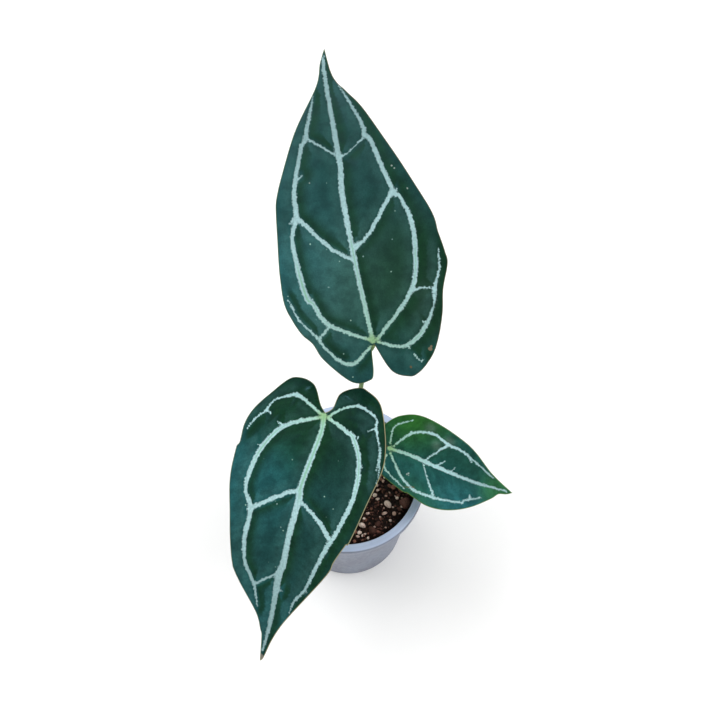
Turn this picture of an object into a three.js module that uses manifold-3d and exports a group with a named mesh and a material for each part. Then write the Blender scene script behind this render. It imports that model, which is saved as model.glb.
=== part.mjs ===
// A crystal anthurium in a 104 mm nursery pot: three heart-shaped leaves on stalks from one short stem.
// Millimetres, +Z up, the origin on the surface under the middle of the pot.
import * as THREE from "three";
import { mergeVertices } from "three/addons/utils/BufferGeometryUtils.js";
import Module from "manifold-3d";

const wasm = await Module();
wasm.setup();

// Pot
const POT_HEIGHT = 98;
const RIM_RADIUS = 52;
const MOUTH_RADIUS = 46.5;
const RIM_DEPTH = 6;
const BASE_RADIUS = 39.5;
const WALL = 1.4;
const FLOOR = 2;
const STEP_DEPTH = 0.6;
const STEP_BELOW_TOP = 17;
const DRAIN_COUNT = 6;
const DRAIN_RADIUS = 3.5;
const DRAIN_RING_RADIUS = 26;
const POT_SIDES = 56;

// Clearance that stays between pieces that touch
const GAP = 0.3;

// Potting mix
const MIX_LEVEL = 91.5;
const MIX_DOME = 1.5;
const CHIP_COUNT = 78;
const CHIP_RADII = [1.2, 2.6];
const CHIP_SPACING = 4.6;
const CLEAR_OF_STEM = 15;
// The biggest chips, each as x, y and radius
const BIG_CHIPS = [
  [26.6, -18, 3.4],
  [38, -17, 3.8],
  [10.6, -32.3, 2.4],
  [16.7, -36.3, 2.8],
  [30.9, -24.5, 1.8],
  [24.6, -24.2, 2],
  [20.3, -31.6, 2.1],
];

// Rootstock
const STEM_FOOT = [0, 4, 58];
const STEM_TOP = [0.5, 5, 97];
const STEM_RADIUS = 8;
const ROOT_COUNT = 5;
const ROOT_RADIUS = 1.9;
const AERIAL_ROOT_COUNT = 3;

// Leaf blades
const BLADE_THICKNESS = 0.8;
const MIDRIB_DEPTH = 2;
const VEIN_DEPTH = 1.1;
const GROOVE = 0.35;
const PILLOW = 1.5;
const PILLOW_REACH = 13;
const MARGIN_STEP = 5.5;
const VEIN_STEP = 6;
const FILL_STEP = 8;

// Each leaf: where its stalk joins, how it is turned (degrees), its length and its curves.
// Margins and veins run from the stalk as [along, across], across being positive to the right
// of someone who looks from the stalk to the tip.
const LEAVES = [
  {
    name: "large",
    joint: [16.1, 41.8, 205],
    yaw: -13,
    pitch: 34,
    roll: -12,
    length: 186,
    bend: 0.0028,
    sway: -2.2,
    fold: 0.15,
    arch: 0.0025,
    wave: 1.2,
    waveLength: 46,
    stalk: [[2, 9, 91], [5, 20, 122], [9.5, 33.5, 166], [13.2, 40.3, 191], [16.1, 41.8, 204]],
    stalkRadius: 1.45,
    left: [
      [-2.5, 0.5], [-4.5, -1.5], [-18, -3], [-22.5, -6], [-21.5, -16.5], [-6, -30], [4.5, -34.5],
      [11, -39.5], [20, -43.5], [30, -46], [45, -45], [80.5, -41], [96.5, -37], [129, -23.5],
      [158, -7.5], [175, -3.5], [186, 0],
    ],
    right: [
      [-2.5, 0.5], [-19, 7.5], [-24, 17], [-23, 22.5], [-18, 29], [-9.5, 35.5], [8, 42.5], [22, 46],
      [36, 51.5], [43, 51.5], [54, 50], [73.5, 46.5], [131.5, 22], [150.5, 11], [159, 5.5], [168, 2.5],
      [186, 0],
    ],
    midrib: [[0.5, 0], [82.5, -0.5], [109, 1], [171, -1.5], [180, -0.5]],
    veins: [
      [[1, -2], [14, -23], [27, -29], [31, -32], [47.5, -33.5], [67, -33.5], [79, -29], [94.5, -27.5],
        [120, -20], [125, -17], [152, -9.5]],
      [[48.5, -2], [58, -13.5], [77.5, -28]],
      [[112, -1], [125.5, -16.5]],
      [[0.5, 2.5], [24, 27.5], [46.5, 35], [64.5, 36], [79.5, 32], [83, 29], [115.5, 21], [119.5, 18],
        [128.5, 17], [156.5, 6.5]],
      [[54.5, 1], [62, 11.5], [82.5, 28]],
      [[110.5, 3], [111.5, 7], [118, 16.5]],
      [[-1, 3], [-6, 16], [-0.5, 28], [12.5, 38], [23.5, 41], [33.5, 46], [45, 48]],
      [[24.5, 29], [25, 35], [23.5, 41]],
      [[-3, -2], [-11, -13.5], [-6.5, -22.5], [3, -29], [7, -30.5], [16, -37], [21, -40], [32, -43]],
      [[12.5, -23], [7.5, -29.5]],
    ],
  },
  {
    name: "middle",
    joint: [-12.9, 10.4, 170],
    yaw: 199.9,
    pitch: -8,
    roll: 10,
    length: 153,
    bend: 0.0042,
    sway: -2.4,
    fold: 0.15,
    arch: 0.003,
    wave: 1.2,
    waveLength: 40,
    stalk: [[-4, 3, 92], [-6.5, 4, 112], [-10.5, 7, 142], [-12.6, 9.9, 163], [-12.9, 10.4, 169]],
    stalkRadius: 1.5,
    left: [
      [-2, 0], [-6, -3.5], [-16, -4.5], [-22, -13], [-22, -20], [-13, -33], [17.5, -44], [64, -37],
      [68.5, -35], [79.5, -31], [88.5, -28.5], [120.5, -11.5], [135.5, -5.5], [150, -2], [153, 0],
    ],
    right: [
      [-2, 0], [-6, 4.5], [-17, 13], [-19, 24], [-14, 32], [5, 43], [18, 47.5], [29.5, 47.5], [35, 48.5],
      [63.5, 43], [88.5, 34], [98, 30.5], [104.5, 26.5], [122.5, 9], [133, 3.5], [137, 2], [153, 0],
    ],
    midrib: [
      [0.5, 0], [12, -1.5], [43.5, 1], [51, 0], [73.5, 0], [90.5, -1], [98, 0], [124.5, -1.5], [146, -0.5],
    ],
    veins: [
      [[1.5, 1.5], [13, 21.5], [29, 31.5], [43.5, 34], [55.5, 33.5], [65, 27.5], [79.5, 26.5], [88, 25],
        [96.5, 22], [107, 13.5], [119, 8.5]],
      [[47, 0.5], [49.5, 7], [65, 27.5]],
      [[96, 1], [107, 13.5]],
      [[0.5, -3], [6, -17], [8.5, -22], [20, -29], [39.5, -32.5], [64.5, -27.5], [74, -24], [92, -20],
        [101, -17.5], [108.5, -13.5], [116.5, -12]],
      [[52.5, -1.5], [60.5, -16], [67.5, -24]],
      [[-0.5, 2.5], [-7.5, 19], [-6.5, 24], [-1, 33], [7, 36], [12, 40], [21, 45]],
      [[7, 36], [8, 32]],
      [[-0.5, -3.5], [-6, -8.5], [-11, -19], [-6.5, -31.5], [-0.5, -34], [12, -39.5], [23, -40.5]],
    ],
  },
  {
    name: "small",
    joint: [27.3, 6.1, 130],
    yaw: 107.4,
    pitch: -3,
    roll: 8,
    length: 85.5,
    bend: 0.0045,
    sway: 2.6,
    fold: 0.2,
    arch: 0.005,
    wave: 0.8,
    waveLength: 30,
    stalk: [[4.5, 2, 92], [9, 2.5, 103], [17, 4, 117], [24.5, 5.7, 126], [27.3, 6.1, 129]],
    stalkRadius: 1.3,
    left: [
      [-2.5, 1], [-7.5, -3], [-9, -10.5], [0, -22], [17, -28], [46.5, -21.5], [68, -8], [85.5, 0],
    ],
    right: [
      [-2.5, 1], [-6.5, 5], [-6.5, 9.5], [-0.5, 17.5], [14.5, 22.5], [19, 22.5], [23, 23.5], [33.5, 25.5],
      [46, 23.5], [59, 17.5], [71.5, 8], [76, 3.5], [81.5, 2], [85.5, 0],
    ],
    midrib: [[1.5, 0], [17.5, -1], [57, 0.5], [81, 0]],
    veins: [
      [[2, -2.5], [8.5, -12], [13, -16], [24, -19.5], [35, -16.5], [47, -15], [69.5, -5.5]],
      [[24, -2], [34.5, -16]],
      [[-0.5, -3], [-1.5, -11.5], [0.5, -16], [9.5, -23]],
      [[1.5, 2.5], [11.5, 13.5], [24.5, 19.5], [51.5, 16.5], [55, 14], [65, 9]],
      [[23.5, 0.5], [26.5, 6.5], [34.5, 17.5]],
      [[-0.5, 4.5], [-0.5, 10], [2.5, 14.5], [16, 20.5]],
    ],
  },
];

// Sheaths round the foot of a stalk
const SHEATHS = [
  {
    name: "sheath_large",
    foot: [1.8, 9.4, 96.5],
    lean: [0.08, 0.32, 1],
    facing: 75,
    height: 30,
    radius: 4.3,
  },
  {
    name: "sheath_middle",
    foot: [-4.4, 2.9, 96.5],
    lean: [-0.13, 0.03, 1],
    facing: 215,
    height: 24,
    radius: 4.2,
  },
];
const SHEATH_THICKNESS = 0.7;
const SHEATH_HALF_ANGLE = 100;

// Finishes
const FINISHES = {
  pot: { color: 0xa9b6d3, roughness: 0.45, metalness: 0 },
  mix: { color: 0x32211c, roughness: 0.95, metalness: 0 },
  stem: { color: 0x6d6a3a, roughness: 0.8, metalness: 0 },
  stalk: { color: 0x6f7f32, roughness: 0.5, metalness: 0 },
  leaf: { color: 0x1c5048, roughness: 0.55, metalness: 0 },
  sheath: { color: 0x8a6a45, roughness: 0.85, metalness: 0 },
};

function seededRandom(seed) {
  let state = seed;
  return () => {
    state = (state * 1664525 + 1013904223) % 4294967296;
    return state / 4294967296;
  };
}

function toGeometry(positions, index) {
  const geometry = new THREE.BufferGeometry();
  geometry.setAttribute("position", new THREE.Float32BufferAttribute(positions, 3));
  geometry.setIndex(index);
  return geometry;
}

function toSolid(geometry) {
  const bare = geometry.clone();
  bare.deleteAttribute("normal");
  bare.deleteAttribute("uv");
  const merged = mergeVertices(bare, 1e-4);
  return new wasm.Manifold(new wasm.Mesh({
    numProp: 3,
    vertProperties: new Float32Array(merged.attributes.position.array),
    triVerts: new Uint32Array(merged.index.array),
  }));
}

function fromSolid(solid) {
  const mesh = solid.getMesh();
  return toGeometry(Array.from(mesh.vertProperties), Array.from(mesh.triVerts));
}

// The biggest body of a solid: what a cut leaves loose is dropped
function biggest(solid) {
  return solid.decompose().sort((a, b) => b.volume() - a.volume())[0];
}

function lathe(profile) {
  const points = profile.map(([radius, height]) => new THREE.Vector2(radius, height));
  return new THREE.LatheGeometry(points, POT_SIDES).rotateX(Math.PI / 2);
}

// A closed tube along a curve, with a radius that follows its length from 0 to 1
function sweep(points, radiusAt, sides, steps) {
  const curve = new THREE.CatmullRomCurve3(points.map((point) => new THREE.Vector3(...point)));
  const frames = curve.computeFrenetFrames(steps, false);
  const positions = [];
  for (let i = 0; i <= steps; i += 1) {
    const centre = curve.getPointAt(i / steps);
    const radius = radiusAt(i / steps);
    for (let j = 0; j < sides; j += 1) {
      const angle = (2 * Math.PI * j) / sides;
      const point = centre.clone()
        .addScaledVector(frames.normals[i], radius * Math.cos(angle))
        .addScaledVector(frames.binormals[i], radius * Math.sin(angle));
      positions.push(...point.toArray());
    }
  }
  positions.push(...curve.getPointAt(0).toArray(), ...curve.getPointAt(1).toArray());
  const footCentre = sides * (steps + 1);
  const endCentre = footCentre + 1;
  const last = sides * steps;
  const index = [];
  for (let j = 0; j < sides; j += 1) {
    const next = (j + 1) % sides;
    for (let i = 0; i < steps; i += 1) {
      const low = i * sides;
      const high = low + sides;
      index.push(low + j, low + next, high + next, low + j, high + next, high + j);
    }
    index.push(footCentre, next, j, endCentre, last + j, last + next);
  }
  return toGeometry(positions, index);
}

function mix(from, to, share) {
  return from + (to - from) * share;
}

function smooth(low, high, value) {
  const share = Math.min(Math.max((value - low) / (high - low), 0), 1);
  return share * share * (3 - 2 * share);
}

// Pot: one thin wall with a floor, and a lip that turns out and down
function insideRadius(height) {
  return mix(BASE_RADIUS - WALL, MOUTH_RADIUS, (height - FLOOR) / (POT_HEIGHT - FLOOR));
}

function makePot() {
  const stepHeight = POT_HEIGHT - STEP_BELOW_TOP;
  const underLip = POT_HEIGHT - WALL;
  const body = lathe([
    [0, 0],
    [BASE_RADIUS - 1.5, 0],
    [BASE_RADIUS, 1.2],
    [insideRadius(stepHeight) + WALL, stepHeight],
    [insideRadius(stepHeight) + WALL + STEP_DEPTH, stepHeight + 1],
    [insideRadius(underLip) + WALL + STEP_DEPTH, underLip],
    [RIM_RADIUS - WALL, underLip],
    [RIM_RADIUS - WALL, POT_HEIGHT - RIM_DEPTH],
    [RIM_RADIUS - 0.2, POT_HEIGHT - RIM_DEPTH],
    [RIM_RADIUS, POT_HEIGHT - 2],
    [RIM_RADIUS - 0.6, POT_HEIGHT - 0.7],
    [RIM_RADIUS - 2, POT_HEIGHT],
    [MOUTH_RADIUS + 0.5, POT_HEIGHT],
    [MOUTH_RADIUS, POT_HEIGHT - 0.6],
    [insideRadius(FLOOR), FLOOR],
    [0, FLOOR],
  ]);
  const drains = [];
  for (let i = 0; i < DRAIN_COUNT; i += 1) {
    const angle = (2 * Math.PI * (i + 0.5)) / DRAIN_COUNT;
    const drain = new THREE.CylinderGeometry(DRAIN_RADIUS, DRAIN_RADIUS, 4 * FLOOR, 10);
    drain.rotateX(Math.PI / 2);
    drain.translate(DRAIN_RING_RADIUS * Math.cos(angle), DRAIN_RING_RADIUS * Math.sin(angle), 0);
    drains.push(toSolid(drain));
  }
  return fromSolid(toSolid(body).subtract(wasm.Manifold.union(drains)));
}

// Rootstock: a short stem with roots that fan out in the mix and aerial roots that arch into it
function makeRootstock(grow) {
  const [x, y, top] = STEM_TOP;
  const stem = sweep(
    [STEM_FOOT, [0, 4.4, 76], [0.3, 4.8, 89], [x, y, top + grow]],
    (share) => grow + STEM_RADIUS * (0.55 + 0.45 * Math.sin(Math.PI * Math.min(share * 0.75 + 0.1, 1))),
    10,
    8,
  );
  const solids = [toSolid(stem)];
  for (let i = 0; i < ROOT_COUNT; i += 1) {
    const angle = (2 * Math.PI * (i + 0.3)) / ROOT_COUNT;
    const out = (radius, height) => [radius * Math.cos(angle), 4 + (radius - 4) * Math.sin(angle), height];
    const path = [out(1, 72), out(13, 69), out(25, 54), out(29, 34), out(26, 16 + 3 * (i % 2))];
    solids.push(toSolid(sweep(path, (share) => grow + ROOT_RADIUS * mix(1, 0.5, share), 6, 9)));
  }
  for (let i = 0; i < AERIAL_ROOT_COUNT; i += 1) {
    const angle = (2 * Math.PI * (i + 0.45)) / AERIAL_ROOT_COUNT;
    const out = (radius, height) => [radius * Math.cos(angle), 5 + radius * Math.sin(angle), height];
    const path = [out(2, 92), out(9.5, 96), out(15, 94.5), out(18, 86), out(18.5, 74)];
    solids.push(toSolid(sweep(path, (share) => grow + ROOT_RADIUS * mix(0.95, 0.7, share), 6, 9)));
  }
  return wasm.Manifold.union(solids);
}

// One chip of pumice or bark: a twenty-faced lump, knocked out of round
function makeChip(radius, random) {
  const lump = new THREE.IcosahedronGeometry(radius, 0);
  lump.deleteAttribute("normal");
  lump.deleteAttribute("uv");
  const chip = mergeVertices(lump, 1e-3);
  const position = chip.attributes.position;
  for (let i = 0; i < position.count; i += 1) {
    const stretch = mix(0.82, 1.14, random());
    position.setXYZ(i, position.getX(i) * stretch, position.getY(i) * stretch, position.getZ(i) * stretch);
  }
  chip.scale(mix(1, 1.3, random()), mix(0.75, 1, random()), 0.75);
  chip.rotateX(mix(-0.4, 0.4, random())).rotateZ(2 * Math.PI * random());
  return chip;
}

function mixHeight(radius) {
  return MIX_LEVEL + MIX_DOME * (1 - (radius / MOUTH_RADIUS) ** 2);
}

function makeMix(rootHollow) {
  const edge = (height) => insideRadius(height) - GAP;
  const rings = [0.8, 0.5, 0.2];
  const body = lathe([
    [0, FLOOR + GAP],
    [edge(FLOOR + GAP) - 0.1, FLOOR + GAP],
    [edge(MIX_LEVEL) - 0.1, MIX_LEVEL],
    ...rings.map((share) => [share * MOUTH_RADIUS, mixHeight(share * MOUTH_RADIUS)]),
    [0, mixHeight(0)],
  ]);
  const random = seededRandom(11);
  const placed = [...BIG_CHIPS];
  while (placed.length < BIG_CHIPS.length + CHIP_COUNT) {
    const distance = Math.sqrt(random()) * (MOUTH_RADIUS - 3.5);
    const angle = 2 * Math.PI * random();
    const radius = mix(CHIP_RADII[0], CHIP_RADII[1], random() ** 2);
    const x = distance * Math.cos(angle);
    const y = distance * Math.sin(angle);
    const crowded = placed.some(([px, py, pr]) => Math.hypot(px - x, py - y) < CHIP_SPACING / 2 + pr);
    if (!crowded && Math.hypot(x, y - 5) > CLEAR_OF_STEM) {
      placed.push([x, y, radius]);
    }
  }
  const chips = placed.map(([x, y, radius]) => {
    const chip = makeChip(radius, random);
    chip.translate(x, y, mixHeight(Math.hypot(x, y)) + 0.15 * radius);
    return toSolid(chip);
  });
  return fromSolid(biggest(wasm.Manifold.union([toSolid(body), ...chips]).subtract(rootHollow)));
}

// Leaf blades
function resample(points, step) {
  const curve = new THREE.SplineCurve(points.map(([along, across]) => new THREE.Vector2(along, across)));
  const count = Math.max(2, Math.round(curve.getLength() / step));
  return curve.getSpacedPoints(count);
}

// The middle surface of a blade in its own frame: +Y to the tip, +X to the right, +Z up
function bladePoint(leaf, along, across, lift) {
  const turn = leaf.bend * along;
  const height = leaf.fold * (Math.hypot(across, 2) - 2) - leaf.arch * across * across + lift;
  const sway = leaf.sway * Math.sin(Math.PI * Math.min(Math.max(along / leaf.length, 0), 1));
  return [
    across + sway,
    Math.sin(turn) / leaf.bend + height * Math.sin(turn),
    height * Math.cos(turn) - (1 - Math.cos(turn)) / leaf.bend,
  ];
}

function isInside(point, outline) {
  let inside = false;
  for (let i = 0; i < outline.length; i += 1) {
    const a = outline[i];
    const b = outline[(i + 1) % outline.length];
    const crosses = (a.y > point.y) !== (b.y > point.y);
    if (crosses && point.x < a.x + ((b.x - a.x) * (point.y - a.y)) / (b.y - a.y)) {
      inside = !inside;
    }
  }
  return inside;
}

function nearest(point, others) {
  return others.reduce((least, other) => Math.min(least, point.distanceTo(other)), Infinity);
}

// Delaunay triangles of a set of points, by adding one point after another
function triangulate(points) {
  const far = 1e4;
  const corners = [new THREE.Vector2(-far, -far), new THREE.Vector2(far, -far), new THREE.Vector2(0, far)];
  const all = [...points, ...corners];
  const withCircle = (a, b, c) => {
    const [p, q, r] = [all[a], all[b], all[c]];
    const area = 2 * (p.x * (q.y - r.y) + q.x * (r.y - p.y) + r.x * (p.y - q.y));
    const [pp, qq, rr] = [p.lengthSq(), q.lengthSq(), r.lengthSq()];
    const x = (pp * (q.y - r.y) + qq * (r.y - p.y) + rr * (p.y - q.y)) / area;
    const y = (pp * (r.x - q.x) + qq * (p.x - r.x) + rr * (q.x - p.x)) / area;
    return { corners: [a, b, c], x, y, reach: (p.x - x) ** 2 + (p.y - y) ** 2 };
  };
  let triangles = [withCircle(points.length, points.length + 1, points.length + 2)];
  points.forEach((point, added) => {
    const hull = new Map();
    triangles = triangles.filter((triangle) => {
      if ((point.x - triangle.x) ** 2 + (point.y - triangle.y) ** 2 >= triangle.reach) {
        return true;
      }
      triangle.corners.forEach((from, i) => {
        const to = triangle.corners[(i + 1) % 3];
        const twin = `${to},${from}`;
        if (!hull.delete(twin)) {
          hull.set(`${from},${to}`, [from, to]);
        }
      });
      return false;
    });
    hull.forEach(([from, to]) => triangles.push(withCircle(from, to, added)));
  });
  return triangles.map((triangle) => triangle.corners)
    .filter((corner) => corner.every((i) => i < points.length));
}

// The points of a blade's net, each with the drop of its groove and the depth of its rib
function bladeNet(leaf) {
  const left = resample(leaf.left, MARGIN_STEP);
  const right = resample(leaf.right, MARGIN_STEP).reverse();
  const outline = [...left, ...right.slice(1, -1)];
  const net = outline.map((point) => ({ point, rib: 0, lift: 0 }));
  const veins = [leaf.midrib, ...leaf.veins];
  const centres = veins.map((vein) => resample(vein, VEIN_STEP));
  const addPoint = (point, room, rib, lift) => {
    const clear = nearest(point, net.map((other) => other.point)) > room;
    if (clear && isInside(point, outline) && nearest(point, outline) > Math.min(room, 1.4)) {
      net.push({ point, rib, lift });
    }
  };
  const depthAt = (vein, share) =>
    vein === 0 ? mix(MIDRIB_DEPTH, 0.5, share) : mix(VEIN_DEPTH, 0.4, share);
  centres.forEach((centre, vein) => {
    centre.forEach((point, i) => {
      addPoint(point, 2, depthAt(vein, i / (centre.length - 1)), -GROOVE);
    });
  });
  centres.forEach((centre, vein) => {
    centre.forEach((point, i) => {
      const ahead = centre[Math.min(i + 1, centre.length - 1)];
      const behind = centre[Math.max(i - 1, 0)];
      const side = new THREE.Vector2(behind.y - ahead.y, ahead.x - behind.x).normalize();
      const width = vein === 0 ? mix(2.4, 1.5, i / (centre.length - 1)) : 1.7;
      addPoint(point.clone().addScaledVector(side, width), 1.4, 0, 0);
      addPoint(point.clone().addScaledVector(side, -width), 1.4, 0, 0);
    });
  });
  const random = seededRandom(5);
  const threads = veins.flatMap((vein) => resample(vein, 2));
  for (let along = -30; along < leaf.length; along += FILL_STEP) {
    for (let across = -56; across < 56; across += FILL_STEP) {
      const point = new THREE.Vector2(along + 3 * random(), across + 3 * random());
      const puff = smooth(0, PILLOW_REACH, nearest(point, threads));
      const lift = PILLOW * puff * smooth(0, 12, nearest(point, outline));
      addPoint(point, FILL_STEP * 0.55, 0, lift);
    }
  }
  return { net, outline };
}

function marginWave(leaf, { x: along, y: across }) {
  const phase = across < 0 ? 1.3 : 0;
  const swing = Math.sin((2 * Math.PI * along) / leaf.waveLength + phase);
  return leaf.wave * swing * smooth(18, 46, Math.abs(across));
}

function makeBlade(leaf) {
  const { net, outline } = bladeNet(leaf);
  const triangles = triangulate(net.map((entry) => entry.point)).filter((corners) => {
    const centre = new THREE.Vector2();
    corners.forEach((i) => centre.addScaledVector(net[i].point, 1 / 3));
    return isInside(centre, outline);
  });
  const positions = [];
  net.forEach(({ point, lift }) => {
    positions.push(...bladePoint(leaf, point.x, point.y, lift + marginWave(leaf, point)));
  });
  net.forEach(({ point, lift, rib }) => {
    const under = lift + marginWave(leaf, point) - BLADE_THICKNESS - rib;
    positions.push(...bladePoint(leaf, point.x, point.y, under));
  });
  // Along and across make a left-handed pair seen from above, so the top face is wound the other way
  const under = net.length;
  const index = [];
  const rim = new Map();
  triangles.forEach(([a, b, c]) => {
    index.push(a, c, b, a + under, b + under, c + under);
    [[a, b], [b, c], [c, a]].forEach(([from, to]) => {
      if (!rim.delete(`${to},${from}`)) {
        rim.set(`${from},${to}`, [from, to]);
      }
    });
  });
  rim.forEach(([from, to]) => {
    index.push(from, to, to + under, from, to + under, from + under);
  });
  return toGeometry(positions, index);
}

function place(mesh, leaf) {
  mesh.position.set(...leaf.joint);
  mesh.rotation.set(
    THREE.MathUtils.degToRad(leaf.pitch),
    THREE.MathUtils.degToRad(leaf.roll),
    THREE.MathUtils.degToRad(-leaf.yaw),
    "ZXY",
  );
  mesh.updateMatrixWorld();
}

// A stalk: swollen at its foot and at the joint, where it is cut flat under the blade
function stalkSolid(leaf, grow) {
  const radiusAt = (share) => {
    const foot = 1.9 * (1 - smooth(0, 0.28, share));
    const joint = 0.75 * smooth(1 - 16 / leaf.length, 1 - 6 / leaf.length, share);
    return leaf.stalkRadius + foot + joint + grow;
  };
  return toSolid(sweep(leaf.stalk, radiusAt, 8, 20));
}

function makeStalk(leaf, blade) {
  const clear = BLADE_THICKNESS + MIDRIB_DEPTH + GROOVE + GAP;
  const block = new THREE.BoxGeometry(30, 30, 20).translate(0, 0, 10 - clear);
  block.applyMatrix4(blade.matrixWorld);
  return fromSolid(stalkSolid(leaf, 0).subtract(toSolid(block)));
}

// A sheath: part of a cone round the stalk that narrows to a point
function makeSheath(sheath) {
  const rows = 8;
  const columns = 8;
  const axis = new THREE.Vector3(...sheath.lean).normalize();
  const turned = new THREE.Quaternion().setFromUnitVectors(new THREE.Vector3(0, 0, 1), axis);
  const foot = new THREE.Vector3(...sheath.foot);
  const positions = [];
  [SHEATH_THICKNESS, 0].forEach((outward) => {
    for (let i = 0; i <= rows; i += 1) {
      const share = i / rows;
      const half = THREE.MathUtils.degToRad(SHEATH_HALF_ANGLE) * (1.04 - share ** 1.6);
      for (let j = 0; j <= columns; j += 1) {
        const angle = THREE.MathUtils.degToRad(sheath.facing) + half * ((2 * j) / columns - 1);
        const radius = sheath.radius + 1.2 * share * share + outward;
        const height = sheath.height * share;
        const point = new THREE.Vector3(radius * Math.cos(angle), radius * Math.sin(angle), height);
        positions.push(...point.applyQuaternion(turned).add(foot).toArray());
      }
    }
  });
  const wide = columns + 1;
  const inner = wide * (rows + 1);
  const index = [];
  for (let i = 0; i < rows; i += 1) {
    for (let j = 0; j < columns; j += 1) {
      const a = i * wide + j;
      const [b, c, d] = [a + 1, a + wide + 1, a + wide];
      index.push(a, b, c, a, c, d, inner + a, inner + c, inner + b, inner + a, inner + d, inner + c);
    }
  }
  const wall = (a, b) => index.push(a, inner + b, b, a, inner + a, inner + b);
  for (let j = 0; j < columns; j += 1) {
    wall(j, j + 1);
    wall(rows * wide + j + 1, rows * wide + j);
  }
  for (let i = 0; i < rows; i += 1) {
    wall((i + 1) * wide, i * wide);
    wall(i * wide + columns, (i + 1) * wide + columns);
  }
  return toGeometry(positions, index);
}

function named(name, geometry, finish) {
  const mesh = new THREE.Mesh(geometry, new THREE.MeshStandardMaterial(finish));
  mesh.name = name;
  return mesh;
}

const plant = new THREE.Group();

plant.add(named("pot", makePot(), FINISHES.pot));

const blades = LEAVES.map((leaf) => {
  const blade = named(`blade_${leaf.name}`, makeBlade(leaf), FINISHES.leaf);
  place(blade, leaf);
  return blade;
});

// The stalks stand in sockets of the stem, and the stem and roots in a hollow of the mix
const sockets = wasm.Manifold.union(LEAVES.map((leaf) => stalkSolid(leaf, GAP)));
const rootstock = biggest(makeRootstock(0).subtract(sockets));
const hollow = wasm.Manifold.union([makeRootstock(GAP), sockets]);

plant.add(named("potting_mix", makeMix(hollow), FINISHES.mix));
plant.add(named("rootstock", fromSolid(rootstock), FINISHES.stem));
LEAVES.forEach((leaf, i) => {
  plant.add(named(`petiole_${leaf.name}`, makeStalk(leaf, blades[i]), FINISHES.stalk));
  plant.add(blades[i]);
});
SHEATHS.forEach((sheath) => {
  const seated = biggest(toSolid(makeSheath(sheath)).subtract(hollow));
  plant.add(named(sheath.name, fromSolid(seated), FINISHES.sheath));
});

export default plant;
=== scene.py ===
import math

import bmesh
import bpy
import numpy as np
from mathutils import Matrix, Vector, noise
from mathutils.geometry import delaunay_2d_cdt


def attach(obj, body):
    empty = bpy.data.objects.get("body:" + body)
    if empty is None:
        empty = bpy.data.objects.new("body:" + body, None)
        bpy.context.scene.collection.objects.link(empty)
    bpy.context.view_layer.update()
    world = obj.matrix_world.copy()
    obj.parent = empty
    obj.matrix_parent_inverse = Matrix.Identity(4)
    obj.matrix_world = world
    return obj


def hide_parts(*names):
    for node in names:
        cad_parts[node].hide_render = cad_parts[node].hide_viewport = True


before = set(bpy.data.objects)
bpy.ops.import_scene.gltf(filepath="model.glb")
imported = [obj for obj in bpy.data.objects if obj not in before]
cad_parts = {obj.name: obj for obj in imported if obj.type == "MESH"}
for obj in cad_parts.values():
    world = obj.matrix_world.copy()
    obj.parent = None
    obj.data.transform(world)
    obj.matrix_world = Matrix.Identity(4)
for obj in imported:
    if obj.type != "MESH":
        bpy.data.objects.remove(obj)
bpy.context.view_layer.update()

# A crystal anthurium in a 104 mm nursery pot. Sizes are in millimetres and become metres at the mesh.
MM = 0.001

# Pot
POT_HEIGHT = 98
RIM_RADIUS = 52
MOUTH_RADIUS = 46.5
RIM_DEPTH = 6
BASE_RADIUS = 39.5
WALL = 1.4
FLOOR = 2
STEP_DEPTH = 0.6
STEP_BELOW_TOP = 17
DRAIN_COUNT = 6
DRAIN_RADIUS = 3.5
DRAIN_RING_RADIUS = 26
POT_SIDES = 168
GAP = 0.3

# Potting mix
MIX_LEVEL = 91.5
MIX_DOME = 1.5
CHIP_COUNT = 78
CHIP_RADII = (1.2, 2.6)
CHIP_SPACING = 4.6
CLEAR_OF_STEM = 15
BIG_CHIPS = [
    (26.6, -18, 3.4),
    (38, -17, 3.8),
    (10.6, -32.3, 2.4),
    (16.7, -36.3, 2.8),
    (30.9, -24.5, 1.8),
    (24.6, -24.2, 2),
    (20.3, -31.6, 2.1),
]
PALE_CHIPS = [
    (8, -37.3, 1.8),
    (20.1, -14.6, 1.6),
    (33, -13.9, 1.6),
    (13.5, -24.5, 1.4),
    (23.9, -2, 1.4),
    (15.7, -34.3, 1.4),
    (36.2, -19.4, 1.5),
]
SMALL_CHIP_COUNT = 330
CRUMB_COUNT = 1900
LUMP_LIMIT = 1.2
LUMP_PLANES = 13
PUMICE_AMONG_BIG = (0, 2, 4, 5)
PUMICE_SHARE = 0.22
SMALL_PUMICE_SHARE = 0.36
ROOM_ROUND_STEM = 8.5
ROOM_ROUND_ROOT = 2
MIX_SIDES = 200
SOLID_CHIP_SEED = 11
CHIP_SEED = 21

# Rootstock
STEM_FOOT = (0, 4, 58)
STEM_TOP = (0.5, 5, 97)
STEM_RADIUS = 8
ROOT_COUNT = 5
ROOT_RADIUS = 1.9
ROOT_TURN = 0.3
AERIAL_ROOT_COUNT = 3
AERIAL_ROOT_TURN = 0.45
AERIAL_ROOT_PATH = ((2, 92), (9.5, 96), (15, 94.5), (18, 86), (18.5, 74))

# Leaf blades
MIDRIB_DEPTH = 2
VEIN_DEPTH = 1.1
GROOVE = 0.35
PILLOW = 1.5
PILLOW_REACH = 13
KNOT_RADIUS = 1.4
EDGE_THICKNESS = 0.3
INNER_THICKNESS = 0.6
THINNEST_VEIN = 0.15
VEIN_BLEND = 0.35
BOSS_HEIGHT = 2.4
BOSS_RADIUS = 5.5
RIPPLE_LENGTH = 11
RIPPLE_HEIGHT = 0.3
OUTWARD_RIPPLE_SIZE = (3.6, 7)
RUN_BETWEEN_VEINS = 300
NET_SEED = 3

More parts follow.
